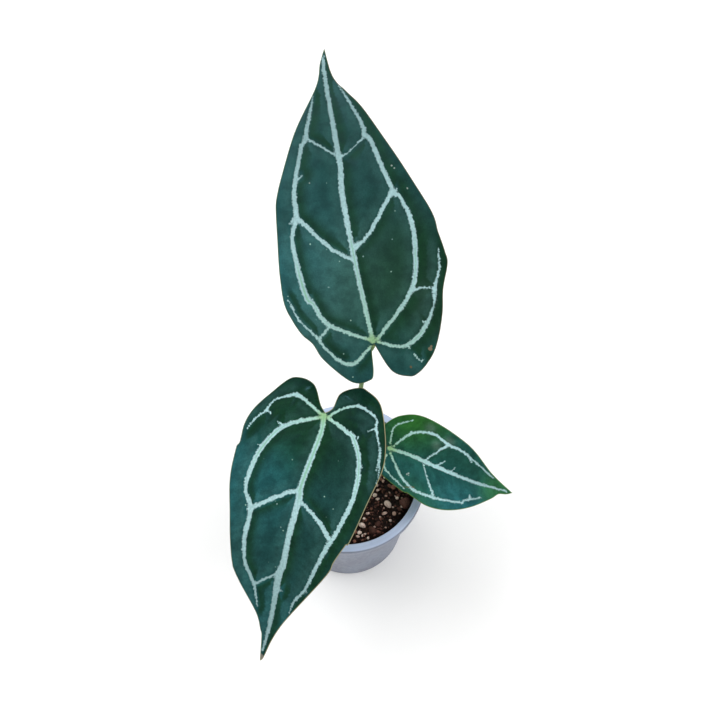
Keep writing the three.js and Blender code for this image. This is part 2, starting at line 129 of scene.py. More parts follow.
# Colours of the blade between its veins
TINTS = {
    "dark": (0.003, 0.018, 0.009),
    "pine": (0.0005, 0.015, 0.0005),
    "moss": (0.006, 0.023, 0.010),
    "green": (0.007, 0.034, 0.005),
    "olive": (0.015, 0.032, 0.021),
    "deep": (0.008, 0.035, 0.029),
    # painted_teal_sheen: painted sheen, the teal the velvet shows towards the light; also every blade's
    # base tint
    "painted_teal_sheen": (0.012, 0.055, 0.053),
    # painted_sky_sheen: painted reflection of the bright sky on the velvet
    "painted_sky_sheen": (0.014, 0.088, 0.096),
    # painted_pale_sheen: painted pale sheen, beside the veins on their lit side and in one zone of the
    # large leaf
    "painted_pale_sheen": (0.040, 0.108, 0.100),
    "fresh": (0.020, 0.092, 0.027),
    "lime": (0.018, 0.088, 0.004),
    # shade: painted shade, on the shade side of the veins and along the small leaf's midrib
    "shade": (0.005, 0.027, 0.008),
    # scuff_and_painted_glint: pale scuffs, partly a painted glint of the gloss on the small leaf
    "scuff_and_painted_glint": (0.110, 0.180, 0.140),
}
VEIN_PALE = (0.36, 0.56, 0.575)
VEIN_GREEN = (0.33, 0.55, 0.48)
KNOT_GREEN = (0.26, 0.45, 0.23)

# Each leaf: where its stalk joins, how it is turned (degrees), its length and its curves. Margins run
# from the stalk as (along, across). Veins add their width there. Zones are broad areas of a tint as
# (along, across, reach), some of them painted sheen or painted shade, and glossy places have the same form.
# The shade side is the side of a vein, in the sense of across, where shade is painted; the other side
# gets a painted sheen. Gain and vein gain scale the colour of the blade and of its veins; above one they
# are painted light. Marks are small spots of a colour as (along, across, radius).
LEAVES = [
    {
        "name": "large",
        "joint": (16.1, 41.8, 205),
        "turns": (-13, 34, -12),
        "length": 186,
        "bend": 0.0028,
        "sway": -2.2,
        "fold": 0.15,
        "arch": 0.0025,
        "wave": 1.2,
        "wave_length": 46,
        "net_step": 1.15,
        "stalk": [(2, 9, 91), (5, 20, 122), (9.5, 33.5, 166), (13.2, 40.3, 191), (16.1, 41.8, 204)],
        "stalk_radius": 1.45,
        "left": [
            (-2.5, 0.5), (-4.5, -1.5), (-18, -3), (-22.5, -6), (-21.5, -16.5), (-6, -30), (4.5, -34.5),
            (11, -39.5), (20, -43.5), (30, -46), (45, -45), (80.5, -41), (96.5, -37), (129, -23.5),
            (158, -7.5), (175, -3.5), (186, 0),
        ],
        "right": [
            (-2.5, 0.5), (-19, 7.5), (-24, 17), (-23, 22.5), (-18, 29), (-9.5, 35.5), (8, 42.5),
            (22, 46), (36, 51.5), (43, 51.5), (54, 50), (73.5, 46.5), (131.5, 22), (150.5, 11),
            (159, 5.5), (168, 2.5), (186, 0),
        ],
        "midrib": [(0.5, 0, 2.2), (82.5, -0.5, 3), (109, 1, 3.1), (171, -1.5, 2), (180, -0.5, 1)],
        "veins": [
            [(1, -2, 1.5), (14, -23, 2.2), (27, -29, 2.6), (31, -32, 3.2), (47.5, -33.5, 3),
             (67, -33.5, 2.1), (79, -29, 3), (94.5, -27.5, 2.3), (120, -20, 2.3), (125, -17, 2.6),
             (152, -9.5, 0.5)],
            [(48.5, -2, 1.8), (58, -13.5, 1.9), (77.5, -28, 2.3)],
            [(112, -1, 0.7), (125.5, -16.5, 1.5)],
            [(0.5, 2.5, 1.6), (24, 27.5, 2.2), (46.5, 35, 2.7), (64.5, 36, 2.4), (79.5, 32, 2),
             (83, 29, 2.4), (115.5, 21, 2.5), (119.5, 18, 2.7), (128.5, 17, 2), (156.5, 6.5, 0.6)],
            [(54.5, 1, 2), (62, 11.5, 1.9), (82.5, 28, 2.5)],
            [(110.5, 3, 1.8), (111.5, 7, 0.5), (118, 16.5, 0.9)],
            [(-1, 3, 1.5), (-6, 16, 1.7), (-0.5, 28, 2.5), (12.5, 38, 1), (23.5, 41, 1.2), (33.5, 46, 1),
             (45, 48, 0.4)],
            [(24.5, 29, 1.3), (25, 35, 0.8), (23.5, 41, 1.4)],
            [(-3, -2, 1.4), (-11, -13.5, 2.1), (-6.5, -22.5, 1.5), (3, -29, 1.1), (7, -30.5, 1.3),
             (16, -37, 0.7), (21, -40, 0.9), (32, -43, 0.3)],
            [(12.5, -23, 1.1), (7.5, -29.5, 0.8)],
        ],
        "spurs": [
            [(101, -24.5, 1.2), (102.5, -22, 0.2)], [(78, -31, 1.4), (75, -34, 0.2)],
            [(82, 28.5, 1.6), (84, 31.5, 0.2)], [(56.5, 1.5, 2), (57.5, 3.5, 1.4)],
            [(-6.5, 20, 1), (-8.5, 20.5, 0.3)], [(-11.5, 22, 0.6), (-16, 25, 0.7), (-15.5, 27.5, 0.3)],
            [(27, 43, 0.8), (22.5, 42, 0.6), (16, 40, 0.5)], [(30, -29.5, 1.2), (29, -32.5, 0.3)],
            [(28, -42, 0.7), (26.5, -41, 0.3)], [(6, 31, 1.2), (5, 33.5, 0.3)],
        ],
        "tint": "painted_teal_sheen",
        "shade_side": 1,
        "gain": 1,
        "vein_gain": 0.84,
        "specular": 0.12,
        "green_reach": 50,
        "ripple": 0.12,
        "rims": ((0.12, 0.17, 0.08), (0.13, 0.13, 0.07)),
        "glossy": [],
        "marks": [
            ((0.16, 0.13, 0.085), [(-10.3, 31.9, 1.2), (-9, 32.6, 0.7)]),
            ((0.10, 0.08, 0.04), [(-18.6, 19, 0.7)]),
            ((0.18, 0.30, 0.29), [(55, 23.4, 0.3), (49, 5, 0.3), (35, -18, 0.3), (18, -29.4, 0.3)]),
            ((0.22, 0.28, 0.25), [(97.4, 30.7, 0.5), (95.7, 31.9, 0.4), (83, 37.4, 0.4), (97, -18, 0.3)]),
        ],
        "zones": {
            "painted_pale_sheen": [(34, -14, 20)],
            "painted_sky_sheen": [(45, -38, 16)],
            "painted_teal_sheen": [(-8, -4, 18), (85, -26, 20)],
            "green": [(24, 12, 19)],
            "moss": [(44, 26, 16)],
            "olive": [(18, 38, 12)],
            "deep": [(105, 20, 22), (135, 0, 22)],
        },
    },
    {
        "name": "middle",
        "joint": (-12.9, 10.4, 170),
        "turns": (199.9, -8, 10),
        "length": 153,
        "bend": 0.0042,
        "sway": -2.4,
        "fold": 0.15,
        "arch": 0.003,
        "wave": 1.2,
        "wave_length": 40,
        "net_step": 1.05,
        "stalk": [(-4, 3, 92), (-6.5, 4, 112), (-10.5, 7, 142), (-12.6, 9.9, 163), (-12.9, 10.4, 169)],
        "stalk_radius": 1.5,
        "left": [
            (-2, 0), (-6, -3.5), (-16, -4.5), (-22, -13), (-22, -20), (-13, -33), (17.5, -44), (64, -37),
            (68.5, -35), (79.5, -31), (88.5, -28.5), (120.5, -11.5), (135.5, -5.5), (150, -2), (153, 0),
        ],
        "right": [
            (-2, 0), (-6, 4.5), (-17, 13), (-19, 24), (-14, 32), (5, 43), (18, 47.5), (29.5, 47.5),
            (35, 48.5), (63.5, 43), (88.5, 34), (98, 30.5), (104.5, 26.5), (122.5, 9), (133, 3.5),
            (137, 2), (153, 0),
        ],
        "midrib": [
            (0.5, 0, 2.6), (12, -1.5, 3.2), (43.5, 1, 3.5), (51, 0, 4), (73.5, 0, 3.3), (90.5, -1, 3.8),
            (98, 0, 4), (124.5, -1.5, 2.6), (146, -0.5, 1),
        ],
        "veins": [
            [(1.5, 1.5, 1.8), (13, 21.5, 2.4), (29, 31.5, 3), (43.5, 34, 2.7), (55.5, 33.5, 2.3),
             (65, 27.5, 3), (79.5, 26.5, 2.7), (88, 25, 2.2), (96.5, 22, 1.9), (107, 13.5, 1.6),
             (119, 8.5, 0.5)],
            [(47, 0.5, 2.3), (49.5, 7, 2), (65, 27.5, 2.5)],
            [(96, 1, 0.9), (107, 13.5, 1.2)],
            [(0.5, -3, 1.6), (6, -17, 2.2), (8.5, -22, 2.7), (20, -29, 2.6), (39.5, -32.5, 2.7),
             (64.5, -27.5, 2.2), (74, -24, 2.4), (92, -20, 1.9), (101, -17.5, 1.4), (108.5, -13.5, 1.3),
             (116.5, -12, 0.5)],
            [(52.5, -1.5, 1.4), (60.5, -16, 2.2), (67.5, -24, 2.6)],
            [(-0.5, 2.5, 1.5), (-7.5, 19, 2), (-6.5, 24, 1.9), (-1, 33, 0.9), (7, 36, 1.3), (12, 40, 1),
             (21, 45, 0.4)],
            [(7, 36, 0.9), (8, 32, 0.4)],
            [(-0.5, -3.5, 1.4), (-6, -8.5, 1.3), (-11, -19, 1.5), (-6.5, -31.5, 1), (-0.5, -34, 1.3),
             (12, -39.5, 0.35), (23, -40.5, 0.2)],
        ],
        "spurs": [
            [(7.5, -21.5, 1.4), (7.5, -25.5, 0.2)], [(13, 22, 1.4), (11.5, 26.5, 0.2)],
            [(28, 31.5, 1.2), (28, 35, 0.2)], [(22, -30, 1.2), (23.5, -32.5, 0.2)],
            [(105.5, -1, 1.6), (105.5, -4.5, 0.2)], [(-0.5, -34, 1), (2.5, -29.5, 0.3)],
            [(74, -24, 1.4), (76, -25.5, 0.2)], [(-6.5, 20, 1), (-8, 20.5, 0.3)],
            [(65.5, 27.5, 1.8), (66, 30, 0.2)], [(100, -18, 1), (101, -20, 0.2)],
            [(10, -40, 0.35), (22, -42, 0.3), (30, -43, 0.2)],
        ],
        "tint": "painted_teal_sheen",
        "shade_side": -1,
        "gain": 0.95,
        "vein_gain": 0.93,
        "specular": 0.07,
        "green_reach": 26,
        "ripple": 0.24,
        "rims": ((0.33, 0.30, 0.17), (0.13, 0.17, 0.08)),
        "glossy": [(-17, -9, 3.5), (-16, -17, 4), (-15, -25, 3), (-15, 14, 3), (-10, 8, 2.5), (-6, 3.6, 2)],
        "marks": [
            ((0.17, 0.16, 0.13), [(150, 0, 2), (153, 0, 2.5)]),
            ((0.25, 0.40, 0.38), [(58, 12, 0.3), (24, -18, 0.2), (70, 6, 0.2)]),
        ],
        "zones": {
            "pine": [(-4, 24, 20)],
            "dark": [(0, -20, 16), (32, -8, 9)],
            "green": [(16, 8, 14)],
            "painted_sky_sheen": [(48, 24, 18), (112, 4, 10)],
            "painted_teal_sheen": [(50, -20, 12), (88, 12, 18)],
            "moss": [(50, -40, 16)],
            "deep": [(84, -13, 16)],
        },
    },
    {
        "name": "small",
        "joint": (27.3, 6.1, 130),
        "turns": (107.4, -3, 8),
        "length": 85.5,
        "bend": 0.0045,
        "sway": 2.6,
        "fold": 0.2,
        "arch": 0.005,
        "wave": 0.8,
        "wave_length": 30,
        "net_step": 0.8,
        "stalk": [(4.5, 2, 92), (9, 2.5, 103), (17, 4, 117), (24.5, 5.7, 126), (27.3, 6.1, 129)],
        "stalk_radius": 1.3,
        "left": [
            (-2.5, 1), (-7.5, -3), (-9, -10.5), (0, -22), (17, -28), (46.5, -21.5), (68, -8), (85.5, 0),
        ],
        "right": [
            (-2.5, 1), (-6.5, 5), (-6.5, 9.5), (-0.5, 17.5), (14.5, 22.5), (19, 22.5), (23, 23.5),
            (33.5, 25.5), (46, 23.5), (59, 17.5), (71.5, 8), (76, 3.5), (81.5, 2), (85.5, 0),
        ],
        "midrib": [(1.5, 0, 1.6), (17.5, -1, 2.1), (57, 0.5, 1.8), (81, 0, 0.8)],
        "veins": [
            [(2, -2.5, 0.9), (8.5, -12, 1.2), (13, -16, 1.4), (24, -19.5, 1.3), (35, -16.5, 1.7),
             (47, -15, 1.2), (69.5, -5.5, 0.6)],
            [(24, -2, 0.6), (34.5, -16, 1.2)],
            [(-0.5, -3, 0.9), (-1.5, -11.5, 0.9), (0.5, -16, 0.8), (9.5, -23, 0.3)],
            [(1.5, 2.5, 1.1), (11.5, 13.5, 1.3), (24.5, 19.5, 1.5), (51.5, 16.5, 1.1), (55, 14, 1.2),
             (65, 9, 0.4)],
            [(23.5, 0.5, 0.7), (26.5, 6.5, 0.7), (34.5, 17.5, 1.2)],
            [(-0.5, 4.5, 0.8), (-0.5, 10, 0.9), (2.5, 14.5, 0.9), (16, 20.5, 0.5)],
        ],
        "spurs": [
            [(32, -1, 0.4), (36, -6, 0.2)], [(41.5, -1, 0.4), (43.5, -4, 0.2)],
            [(58, 12, 1), (57.5, 9.5, 0.3)], [(51, -13, 1), (52.5, -10.5, 0.2)],
        ],
        "tint": "painted_teal_sheen",
        "shade_side": 0,
        # Gain and vein gain above one: painted light that lifts the shade the leaves above cast on this
        # leaf
        "gain": 1.25,
        "vein_gain": 1.15,
        "specular": 0.12,
        "green_reach": 30,
        "ripple": 0.34,
        "rims": ((0.12, 0.24, 0.05), (0.12, 0.22, 0.05)),
        "glossy": [(28, -12, 3), (35, -18.5, 3), (21, -22.5, 3), (64, -13, 3), (10, 6, 3), (40, 12, 4)],
        "marks": [
            ((0.07, 0.045, 0.02), [(-1.7, -0.8, 0.6)]),
            ((0.45, 0.55, 0.52), [(15.2, 11.6, 0.5), (16, 10.6, 0.4), (16.4, 11.8, 0.3)]),
            ((0.13, 0.12, 0.05), [(15.8 + 0.75 * i, 19.8 - 0.3 * i, 0.35) for i in range(9)]),
        ],
        "zones": {
            "lime": [(14, -23, 12)],
            "shade": [(32, -5, 10), (50, -7, 8)],
            "painted_sky_sheen": [(36, 9, 16)],
            "fresh": [(24, 26, 9), (74, 0, 7)],
            "scuff_and_painted_glint": [(28, -13, 1.8), (35, -18, 1.8), (21, -22, 2), (64, -14, 1.5)],
        },
    },
]

# Sheaths round the foot of a stalk
SHEATHS = [
    {"name": "sheath_large", "foot": (1.8, 9.4, 96.5), "lean": (0.08, 0.32, 1), "facing": 75,
     "height": 30, "radius": 4.3},
    {"name": "sheath_middle", "foot": (-4.4, 2.9, 96.5), "lean": (-0.13, 0.03, 1), "facing": 215,
     "height": 24, "radius": 4.2},
]

# Camera: where it stands, how far it looks down from level, and its lens on a 36 mm sensor
CAMERA_PLACE = (8.6, -215.3, 659.2)
CAMERA_DIP = 61.7
CAMERA_LENS = 45
CAMERA_SENSOR = 36

# Lights: name, place, target and size in metres, power in watts, colour, and the rays that miss it
SKY_COLOUR = (1, 0.995, 0.985, 1)
SKY_STRENGTH = 0.62
LIGHTS = [
    ("key", (-1.35, 0.75, 2.3), (0, 0, 0.12), (2.6, 2.6), 54, (1, 1, 1), "glossy"),
    ("fill", (1.3, 0.1, 2.2), (0, 0, 0.12), (1.5, 1.5), 24, (0.99, 0.99, 1), "glossy"),
    ("back_window", (-0.95, 1.1, 1.75), (0, 0.02, 0.16), (0.5, 0.25), 36, (0.8, 0.9, 1), "diffuse"),
    ("side_window", (0.85, 0, 1.7), (0.07, 0, 0.12), (0.5, 0.3), 5, (0.9, 0.95, 1), "diffuse"),
]
FLOOR_HALF = 4000


def smooth(low, high, value):
    share = np.clip((np.asarray(value, float) - low) / (high - low), 0, 1)
    return share * share * (3 - 2 * share)


def between(start, end, share):
    return start + (end - start) * share


def seeded_random(seed):
    """The same run of numbers from 0 to 1 as the solids' source draws."""
    state = seed
    while True:
        state = (state * 1664525 + 1013904223) % 4294967296
        yield state / 4294967296


def curve_through(points, step, dims=2, centripetal=False):
    """Evenly spaced points on the smooth curve through the given ones; dims columns are the place."""
    p = np.array(points, float)
    first, last = (2 * p[0] - p[1], 2 * p[-1] - p[-2]) if centripetal else (p[0], p[-1])
    p = np.vstack([first, p, last])
    spans = np.linalg.norm(np.diff(p[:, :dims], axis=0), axis=1) ** (0.5 if centripetal else 0)
    share = np.linspace(0, 1, 24, endpoint=False)[:, None]
    dense = []
    for i in range(1, len(p) - 2):
        x0, x1, x2, x3 = p[i - 1:i + 3]
        d0, d1, d2 = spans[i - 1:i + 2]
        leave = ((x1 - x0) / d0 - (x2 - x0) / (d0 + d1) + (x2 - x1) / d1) * d1
        arrive = ((x2 - x1) / d1 - (x3 - x1) / (d1 + d2) + (x3 - x2) / d2) * d1
        dense.append(x1 + leave * share + (3 * (x2 - x1) - 2 * leave - arrive) * share**2
                     + (2 * (x1 - x2) + leave + arrive) * share**3)
    dense = np.vstack([*dense, p[-2]])
    run = np.concatenate([[0], np.cumsum(np.linalg.norm(np.diff(dense[:, :dims], axis=0), axis=1))])
    stops = np.linspace(0, run[-1], max(2, round(run[-1] / step)) + 1)
    return np.column_stack([np.interp(stops, run, column) for column in dense.T])


def nearest_on(points, line):
    """Each point's distance to a line, and the line's columns past its place where it is nearest."""
    distance = np.full(len(points), np.inf)
    extra = np.zeros((len(points), line.shape[1] - 2))
    for start, end in zip(line[:-1], line[1:]):
        way = end[:2] - start[:2]
        share = np.clip((points - start[:2]) @ way / max(way @ way, 1e-12), 0, 1)
        reach = np.linalg.norm(points - start[:2] - share[:, None] * way, axis=1)
        closer = reach < distance
        distance[closer] = reach[closer]
        extra[closer] = between(start[2:], end[2:], share[closer, None])
    return distance, extra


def is_inside(points, outline):
    inside = np.zeros(len(points), bool)
    for a, b in zip(outline, np.roll(outline, -1, axis=0)):
        crosses = (a[1] > points[:, 1]) != (b[1] > points[:, 1])
        slope = (b[0] - a[0]) / (b[1] - a[1]) if b[1] != a[1] else 0
        inside ^= crosses & (points[:, 0] < a[0] + slope * (points[:, 1] - a[1]))
    return inside


def make_object(name, places, faces, materials, attributes=None, is_smooth=True, slots=None):
    """A mesh object from millimetres, with its materials and its named values on the points."""
    mesh = bpy.data.meshes.new(name)
    mesh.from_pydata((np.asarray(places, float) * MM).tolist(), [], [list(map(int, f)) for f in faces])
    mesh.polygons.foreach_set("use_smooth", [is_smooth] * len(mesh.polygons))
    for material in materials:
        mesh.materials.append(material)
    if slots is not None:
        mesh.polygons.foreach_set("material_index", slots)
    for key, values in (attributes or {}).items():
        values = np.asarray(values, np.float32)
        is_vector = values.ndim == 2
        layer = mesh.attributes.new(key, "FLOAT_VECTOR" if is_vector else "FLOAT", "POINT")
        layer.data.foreach_set("vector" if is_vector else "value", values.ravel())
    mesh.update()
    piece = bpy.data.objects.new(name, mesh)
    bpy.context.scene.collection.objects.link(piece)
    return piece


def seat(piece, slot, *nodes):
    """The piece stays with the plant and stands for the nodes, whose solids are hidden. The slot is not
    used.
    """
    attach(piece, "root")
    if nodes:
        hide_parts(*nodes)


class Surface:
    """A material of one Principled shader, with short calls for the nodes that feed it."""

    def __init__(self, name, **constants):
        self.material = bpy.data.materials.new(name)
        self.material.use_nodes = True
        self.tree = self.material.node_tree
        self.shader = self.tree.nodes["Principled BSDF"]
        for socket, value in constants.items():
            self.shader.inputs[socket.replace("_", " ")].default_value = value

    def feed(self, socket, value):
        if isinstance(value, bpy.types.NodeSocket):
            self.tree.links.new(value, socket)
        else:
            socket.default_value = value

    def node(self, kind, inputs, **settings):
        node = self.tree.nodes.new("ShaderNode" + kind)
        for key, value in settings.items():
            setattr(node, key, value)
        for key, value in inputs.items():
            self.feed(node.inputs[key], value)
        return node

    def attribute(self, name, output="Fac"):
        return self.node("Attribute", {}, attribute_name=name).outputs[output]

    def place(self):
        return self.node("TexCoord", {}).outputs["Object"]

    def math(self, operation, a, b=0.0):
        return self.node("Math", {0: a, 1: b}, operation=operation).outputs[0]

    def times(self, a, b):
        return self.math("MULTIPLY", a, b)

    def plus(self, a, b):
        return self.math("ADD", a, b)

    def stretch(self, vector, factors):
        return self.node("VectorMath", {0: vector, 1: factors}, operation="MULTIPLY").outputs[0]

    def millimetres(self):
        return self.stretch(self.place(), (1 / MM, 1 / MM, 1 / MM))

    def scale(self, vector, factor):
        return self.node("VectorMath", {0: vector, "Scale": factor}, operation="SCALE").outputs[0]

    def distance(self, vector, point):
        return self.node("VectorMath", {0: vector, 1: point}, operation="DISTANCE").outputs["Value"]

    def parts(self, vector):
        return self.node("SeparateXYZ", {0: vector}).outputs

    def ease(self, value, low, high, to_low=0.0, to_high=1.0):
        settings = {"From Min": low, "From Max": high, "To Min": to_low, "To Max": to_high}
        node = self.node("MapRange", {"Value": value, **settings}, interpolation_type="SMOOTHSTEP")
        return node.outputs[0]

    def mix(self, share, a, b):
        node = self.node("Mix", {}, data_type="RGBA")
        self.feed(node.inputs[0], share)
        for socket, colour in ((node.inputs[6], a), (node.inputs[7], b)):
            self.feed(socket, (*colour, 1) if isinstance(colour, tuple) else colour)
        return node.outputs[2]

    def noise(self, place, scale, detail=2.0, roughness=0.5):
        inputs = {"Vector": place, "Scale": scale, "Detail": detail, "Roughness": roughness}
        return self.node("TexNoise", inputs).outputs["Fac"]

    def cells(self, place, scale, feature="F1", output="Distance"):
        inputs = {"Vector": place, "Scale": scale}
        return self.node("TexVoronoi", inputs, feature=feature).outputs[output]

    def bump(self, height, distance, strength=1.0):
        """Adds relief of the height times the distance (millimetres) to what the shader has."""
        inputs = {"Height": height, "Distance": distance * MM, "Strength": strength}
        node = self.node("Bump", inputs)
        socket = self.shader.inputs["Normal"]
        if socket.is_linked:
            self.feed(node.inputs["Normal"], socket.links[0].from_socket)
        self.feed(socket, node.outputs["Normal"])

    def colour(self, value):
        self.feed(self.shader.inputs["Base Color"], value)

    def roughness(self, value):
        self.feed(self.shader.inputs["Roughness"], value)


# Leaf blades
def leaf_outline(leaf, step):
    left = curve_through(leaf["left"], step)
    right = curve_through(leaf["right"], step)
    return np.vstack([left, right[::-1][1:-1]])


def leaf_veins(leaf, step):
    """The midrib, veins and spurs as lines of (along, across, width, share of the length, run, across)."""
    lines = []
    for number, vein in enumerate((leaf["midrib"], *leaf["veins"], *leaf["spurs"])):
        line = curve_through(vein, step)
        share = np.linspace(0, 1, len(line))
        run = share * step * (len(line) - 1) + RUN_BETWEEN_VEINS * number
        width = np.maximum(line[:, 2], THINNEST_VEIN)
        lines.append(np.column_stack([line[:, :2], width, share, run, line[:, 1]]))
    return lines


def leaf_points(leaf, outline, veins):
    """The net's points: the margin, rows along each vein, and a filling in even triangles."""
    step = leaf["net_step"]
    ahead = np.roll(outline, -1, axis=0) - np.roll(outline, 1, axis=0)
    inward = np.column_stack([-ahead[:, 1], ahead[:, 0]]) / np.linalg.norm(ahead, axis=1)[:, None]
    if not is_inside(outline[len(outline) // 4][None] + 0.3 * inward[len(outline) // 4], outline)[0]:
        inward = -inward
    rows = [outline + 0.75 * inward]
    for line in veins:
        way = np.gradient(line[:, :2], axis=0)
        side = np.column_stack([-way[:, 1], way[:, 0]]) / np.linalg.norm(way, axis=1)[:, None]
        rows.append(line[:, :2])
        for offset in (0.5, -0.5):
            rows.append(line[:, :2] + side * offset * line[:, 2:3])
    low, high = outline.min(axis=0), outline.max(axis=0)
    draw = np.random.default_rng(NET_SEED)
    filling = []
    for i, along in enumerate(np.arange(low[0], high[0], step * 0.866)):
        across = np.arange(low[1] + (i % 2) * step / 2, high[1], step)
        filling.append(np.column_stack([np.full(len(across), along), across]))
    filling = np.vstack(filling)
    rows.append(filling + draw.uniform(-0.12, 0.12, filling.shape) * step)
    candidates = np.vstack(rows)
    candidates = candidates[is_inside(candidates, outline)]
    closed = np.vstack([outline, outline[:1]])
    candidates = candidates[nearest_on(candidates, closed)[0] > 0.45 * step]
    kept = []
    taken = {}
    room = 0.52 * step
    for point in candidates:
        cell = (int(point[0] // room), int(point[1] // room))
        near = (taken.get((cell[0] + i, cell[1] + j)) for i in (-1, 0, 1) for j in (-1, 0, 1))
        if all(other is None or math.dist(point, other) > room for other in near):
            taken[cell] = point
            kept.append(point)
    return np.array(kept)


def leaf_net(leaf):
    """The blade laid flat: its points as (along, across), its triangles and its margin's edges."""
    outline = leaf_outline(leaf, 0.9 * leaf["net_step"])
    veins = leaf_veins(leaf, leaf["net_step"])
    points = np.vstack([outline, leaf_points(leaf, outline, veins)])
    count = len(outline)
    edges = [(i, (i + 1) % count) for i in range(count)]
    flat = [Vector((across, along)) for along, across in points]
    corners, _, triangles, *_ = delaunay_2d_cdt(flat, edges, [], 1, 1e-5)
    net = np.array([(corner.y, corner.x) for corner in corners])
    rim = {}
    for triangle in triangles:
        for start, end in zip(triangle, (*triangle[1:], triangle[0])):
            if rim.pop((end, start), None) is None:
                rim[start, end] = True
    return net, triangles, list(rim), outline, veins


def blade_place(leaf, along, across, lift):
    """Points of the blade in the shared frame; lift is the height over its middle surface."""
    turn = leaf["bend"] * along
    height = leaf["fold"] * (np.hypot(across, 2) - 2) - leaf["arch"] * across**2 + lift
    sway = leaf["sway"] * np.sin(math.pi * np.clip(along / leaf["length"], 0, 1))
    local = np.column_stack([
        across + sway,
        np.sin(turn) / leaf["bend"] + height * np.sin(turn),
        height * np.cos(turn) - (1 - np.cos(turn)) / leaf["bend"],
    ])
    yaw, pitch, roll = (math.radians(angle) for angle in leaf["turns"])
    turned = Matrix.Rotation(-yaw, 3, "Z") @ Matrix.Rotation(pitch, 3, "X") @ Matrix.Rotation(roll, 3, "Y")
    return local @ np.array(turned).T + np.array(leaf["joint"])


def ripples(places, seed, height):
    """Soft bumps over places that are given in wavelengths."""
    return height * np.array([noise.noise((x, y, seed)) for x, y in places])


def nearness(net, along, across, reach):
    """One at a place of the blade, falling off softly to nothing past its reach."""
    return np.exp(-((net - (along, across)) ** 2).sum(axis=1) / (2 * reach**2))


def leaf_tone(leaf, net, line, side):
    """The colour between the veins: broad zones, some of them painted sheen or shade, with painted shade on
    one side of each vein and a painted sheen on the other.
    """
    weight = np.full((len(net), 1), 0.15)
    total = weight * TINTS[leaf["tint"]]
    for tint, zones in leaf["zones"].items():
        for zone in zones:
            share = nearness(net, *zone)[:, None]
            weight = weight + share
            total = total + share * TINTS[tint]
    # The gain scales the tone; above one it is painted light
    tone = leaf["gain"] * total / weight
    # Painted shade on the shade side of each vein and painted sheen on its other side, as light across the
    # puffed fields would give
    lean = leaf["shade_side"] * np.clip(side / 2, -1, 1) * np.exp(-(((line - 3) / 4) ** 2))
    tone = between(tone, np.array(TINTS["shade"]), 0.82 * np.maximum(lean, 0)[:, None])
    return between(tone, np.array(TINTS["painted_pale_sheen"]), 0.26 * np.maximum(-lean, 0)[:, None])


def vein_tone(leaf, net):
    """Veins are green near the stalk, pale further out, and duller towards the tip."""
    reach = np.hypot(*net.T)[:, None]
    dull = 0.7 * np.array(VEIN_PALE)
    pale = between(np.array(VEIN_PALE), dull, smooth(0.35, 0.75, net[:, :1] / leaf["length"]))
    green = between(np.array(KNOT_GREEN), np.array(VEIN_GREEN), smooth(1, 7, reach))
    # The gain scales the veins' colour; above one it is painted light
    return leaf["vein_gain"] * between(green, pale, smooth(6, leaf["green_reach"], reach))


def gloss_share(leaf, net):
    """How wet each point looks: much in the glossy places."""
    share = np.zeros(len(net))
    for spot in leaf["glossy"]:
        share += nearness(net, *spot)
    return np.minimum(share, 1)


def leaf_relief(leaf, net, outline, veins):
    """Heights of the top and the underside, and the values that colour the blade."""
    along, across = net.T
    closed = np.vstack([outline, outline[:1]])
    rim = nearest_on(net, closed)[0]
    line = np.full(len(net), np.inf)
    groove = np.zeros(len(net))
    rib = np.zeros(len(net))
    blend = np.zeros(len(net))
    run = np.zeros(len(net))
    side = np.zeros(len(net))
    for number, vein in enumerate(veins):
        distance, extra = nearest_on(net, vein)
        width, share, vein_run, vein_across = extra.T
        depth = between(MIDRIB_DEPTH, 0.5, share) if number == 0 else between(VEIN_DEPTH, 0.3, share)
        depth = np.minimum(depth, 0.8 * width)
        reach = 0.9 + 0.65 * depth
        rib = np.maximum(rib, depth * (0.5 + 0.5 * np.cos(math.pi * np.clip(distance / reach, 0, 1))))
        drop = np.minimum(width, 1) * (1 - smooth(0.15 * width, 0.5 * width + 0.9, distance))
        groove = np.maximum(groove, drop)
        blend += np.exp(-(distance - width / 2) / VEIN_BLEND)
        closer = distance < line
        run[closer] = vein_run[closer]
        side[closer] = (across - vein_across)[closer]
        line = np.minimum(line, distance)
    knot = np.hypot(along, across) - KNOT_RADIUS
    blend += np.exp(-knot / VEIN_BLEND)
    gap = np.minimum(-VEIN_BLEND * np.log(np.maximum(blend, 1e-30)), 30)
    wave = leaf["wave"] * np.sin(2 * math.pi * along / leaf["wave_length"] + np.where(across < 0, 1.3, 0))
    wave *= smooth(18, 46, np.abs(across))
    puff = PILLOW * smooth(0, PILLOW_REACH, line) * smooth(0, 12, rim)
    outward = np.column_stack([along - 0.5 * np.abs(across), across]) / OUTWARD_RIPPLE_SIZE
    fine = ripples(net / RIPPLE_LENGTH, leaf["length"], RIPPLE_HEIGHT)
    fine += ripples(outward, leaf["length"] + 5, leaf["ripple"])
    fine *= smooth(0.8, 5, line) * smooth(0, 5, rim)
    top = wave + puff + fine - GROOVE * groove - 0.25 * (1 - smooth(0, 1.6, rim))
    boss = BOSS_HEIGHT * (1 - smooth(0.5, BOSS_RADIUS, np.hypot(along, across)))
    thickness = between(EDGE_THICKNESS, INNER_THICKNESS, smooth(0, 3, rim))
    below = top - thickness - np.maximum(rib * smooth(0, 2, rim), boss)
    values = {
        "gap": gap,
        "rim": rim,
        "gloss": gloss_share(leaf, net),
        "core": 1 - smooth(0.25 * leaf["length"], 0.4 * leaf["length"], np.hypot(along, across)),
        "flat": np.column_stack([along, across, np.full(len(net), leaf["length"])]),
        "outward": np.column_stack([outward, np.full(len(net), leaf["length"])]),
        "thread": np.column_stack([run, np.sign(side) * line, np.zeros(len(net))]),
        "tone": leaf_tone(leaf, net, line, side),
        "vein_tone": vein_tone(leaf, net),
    }
    return top, below, values


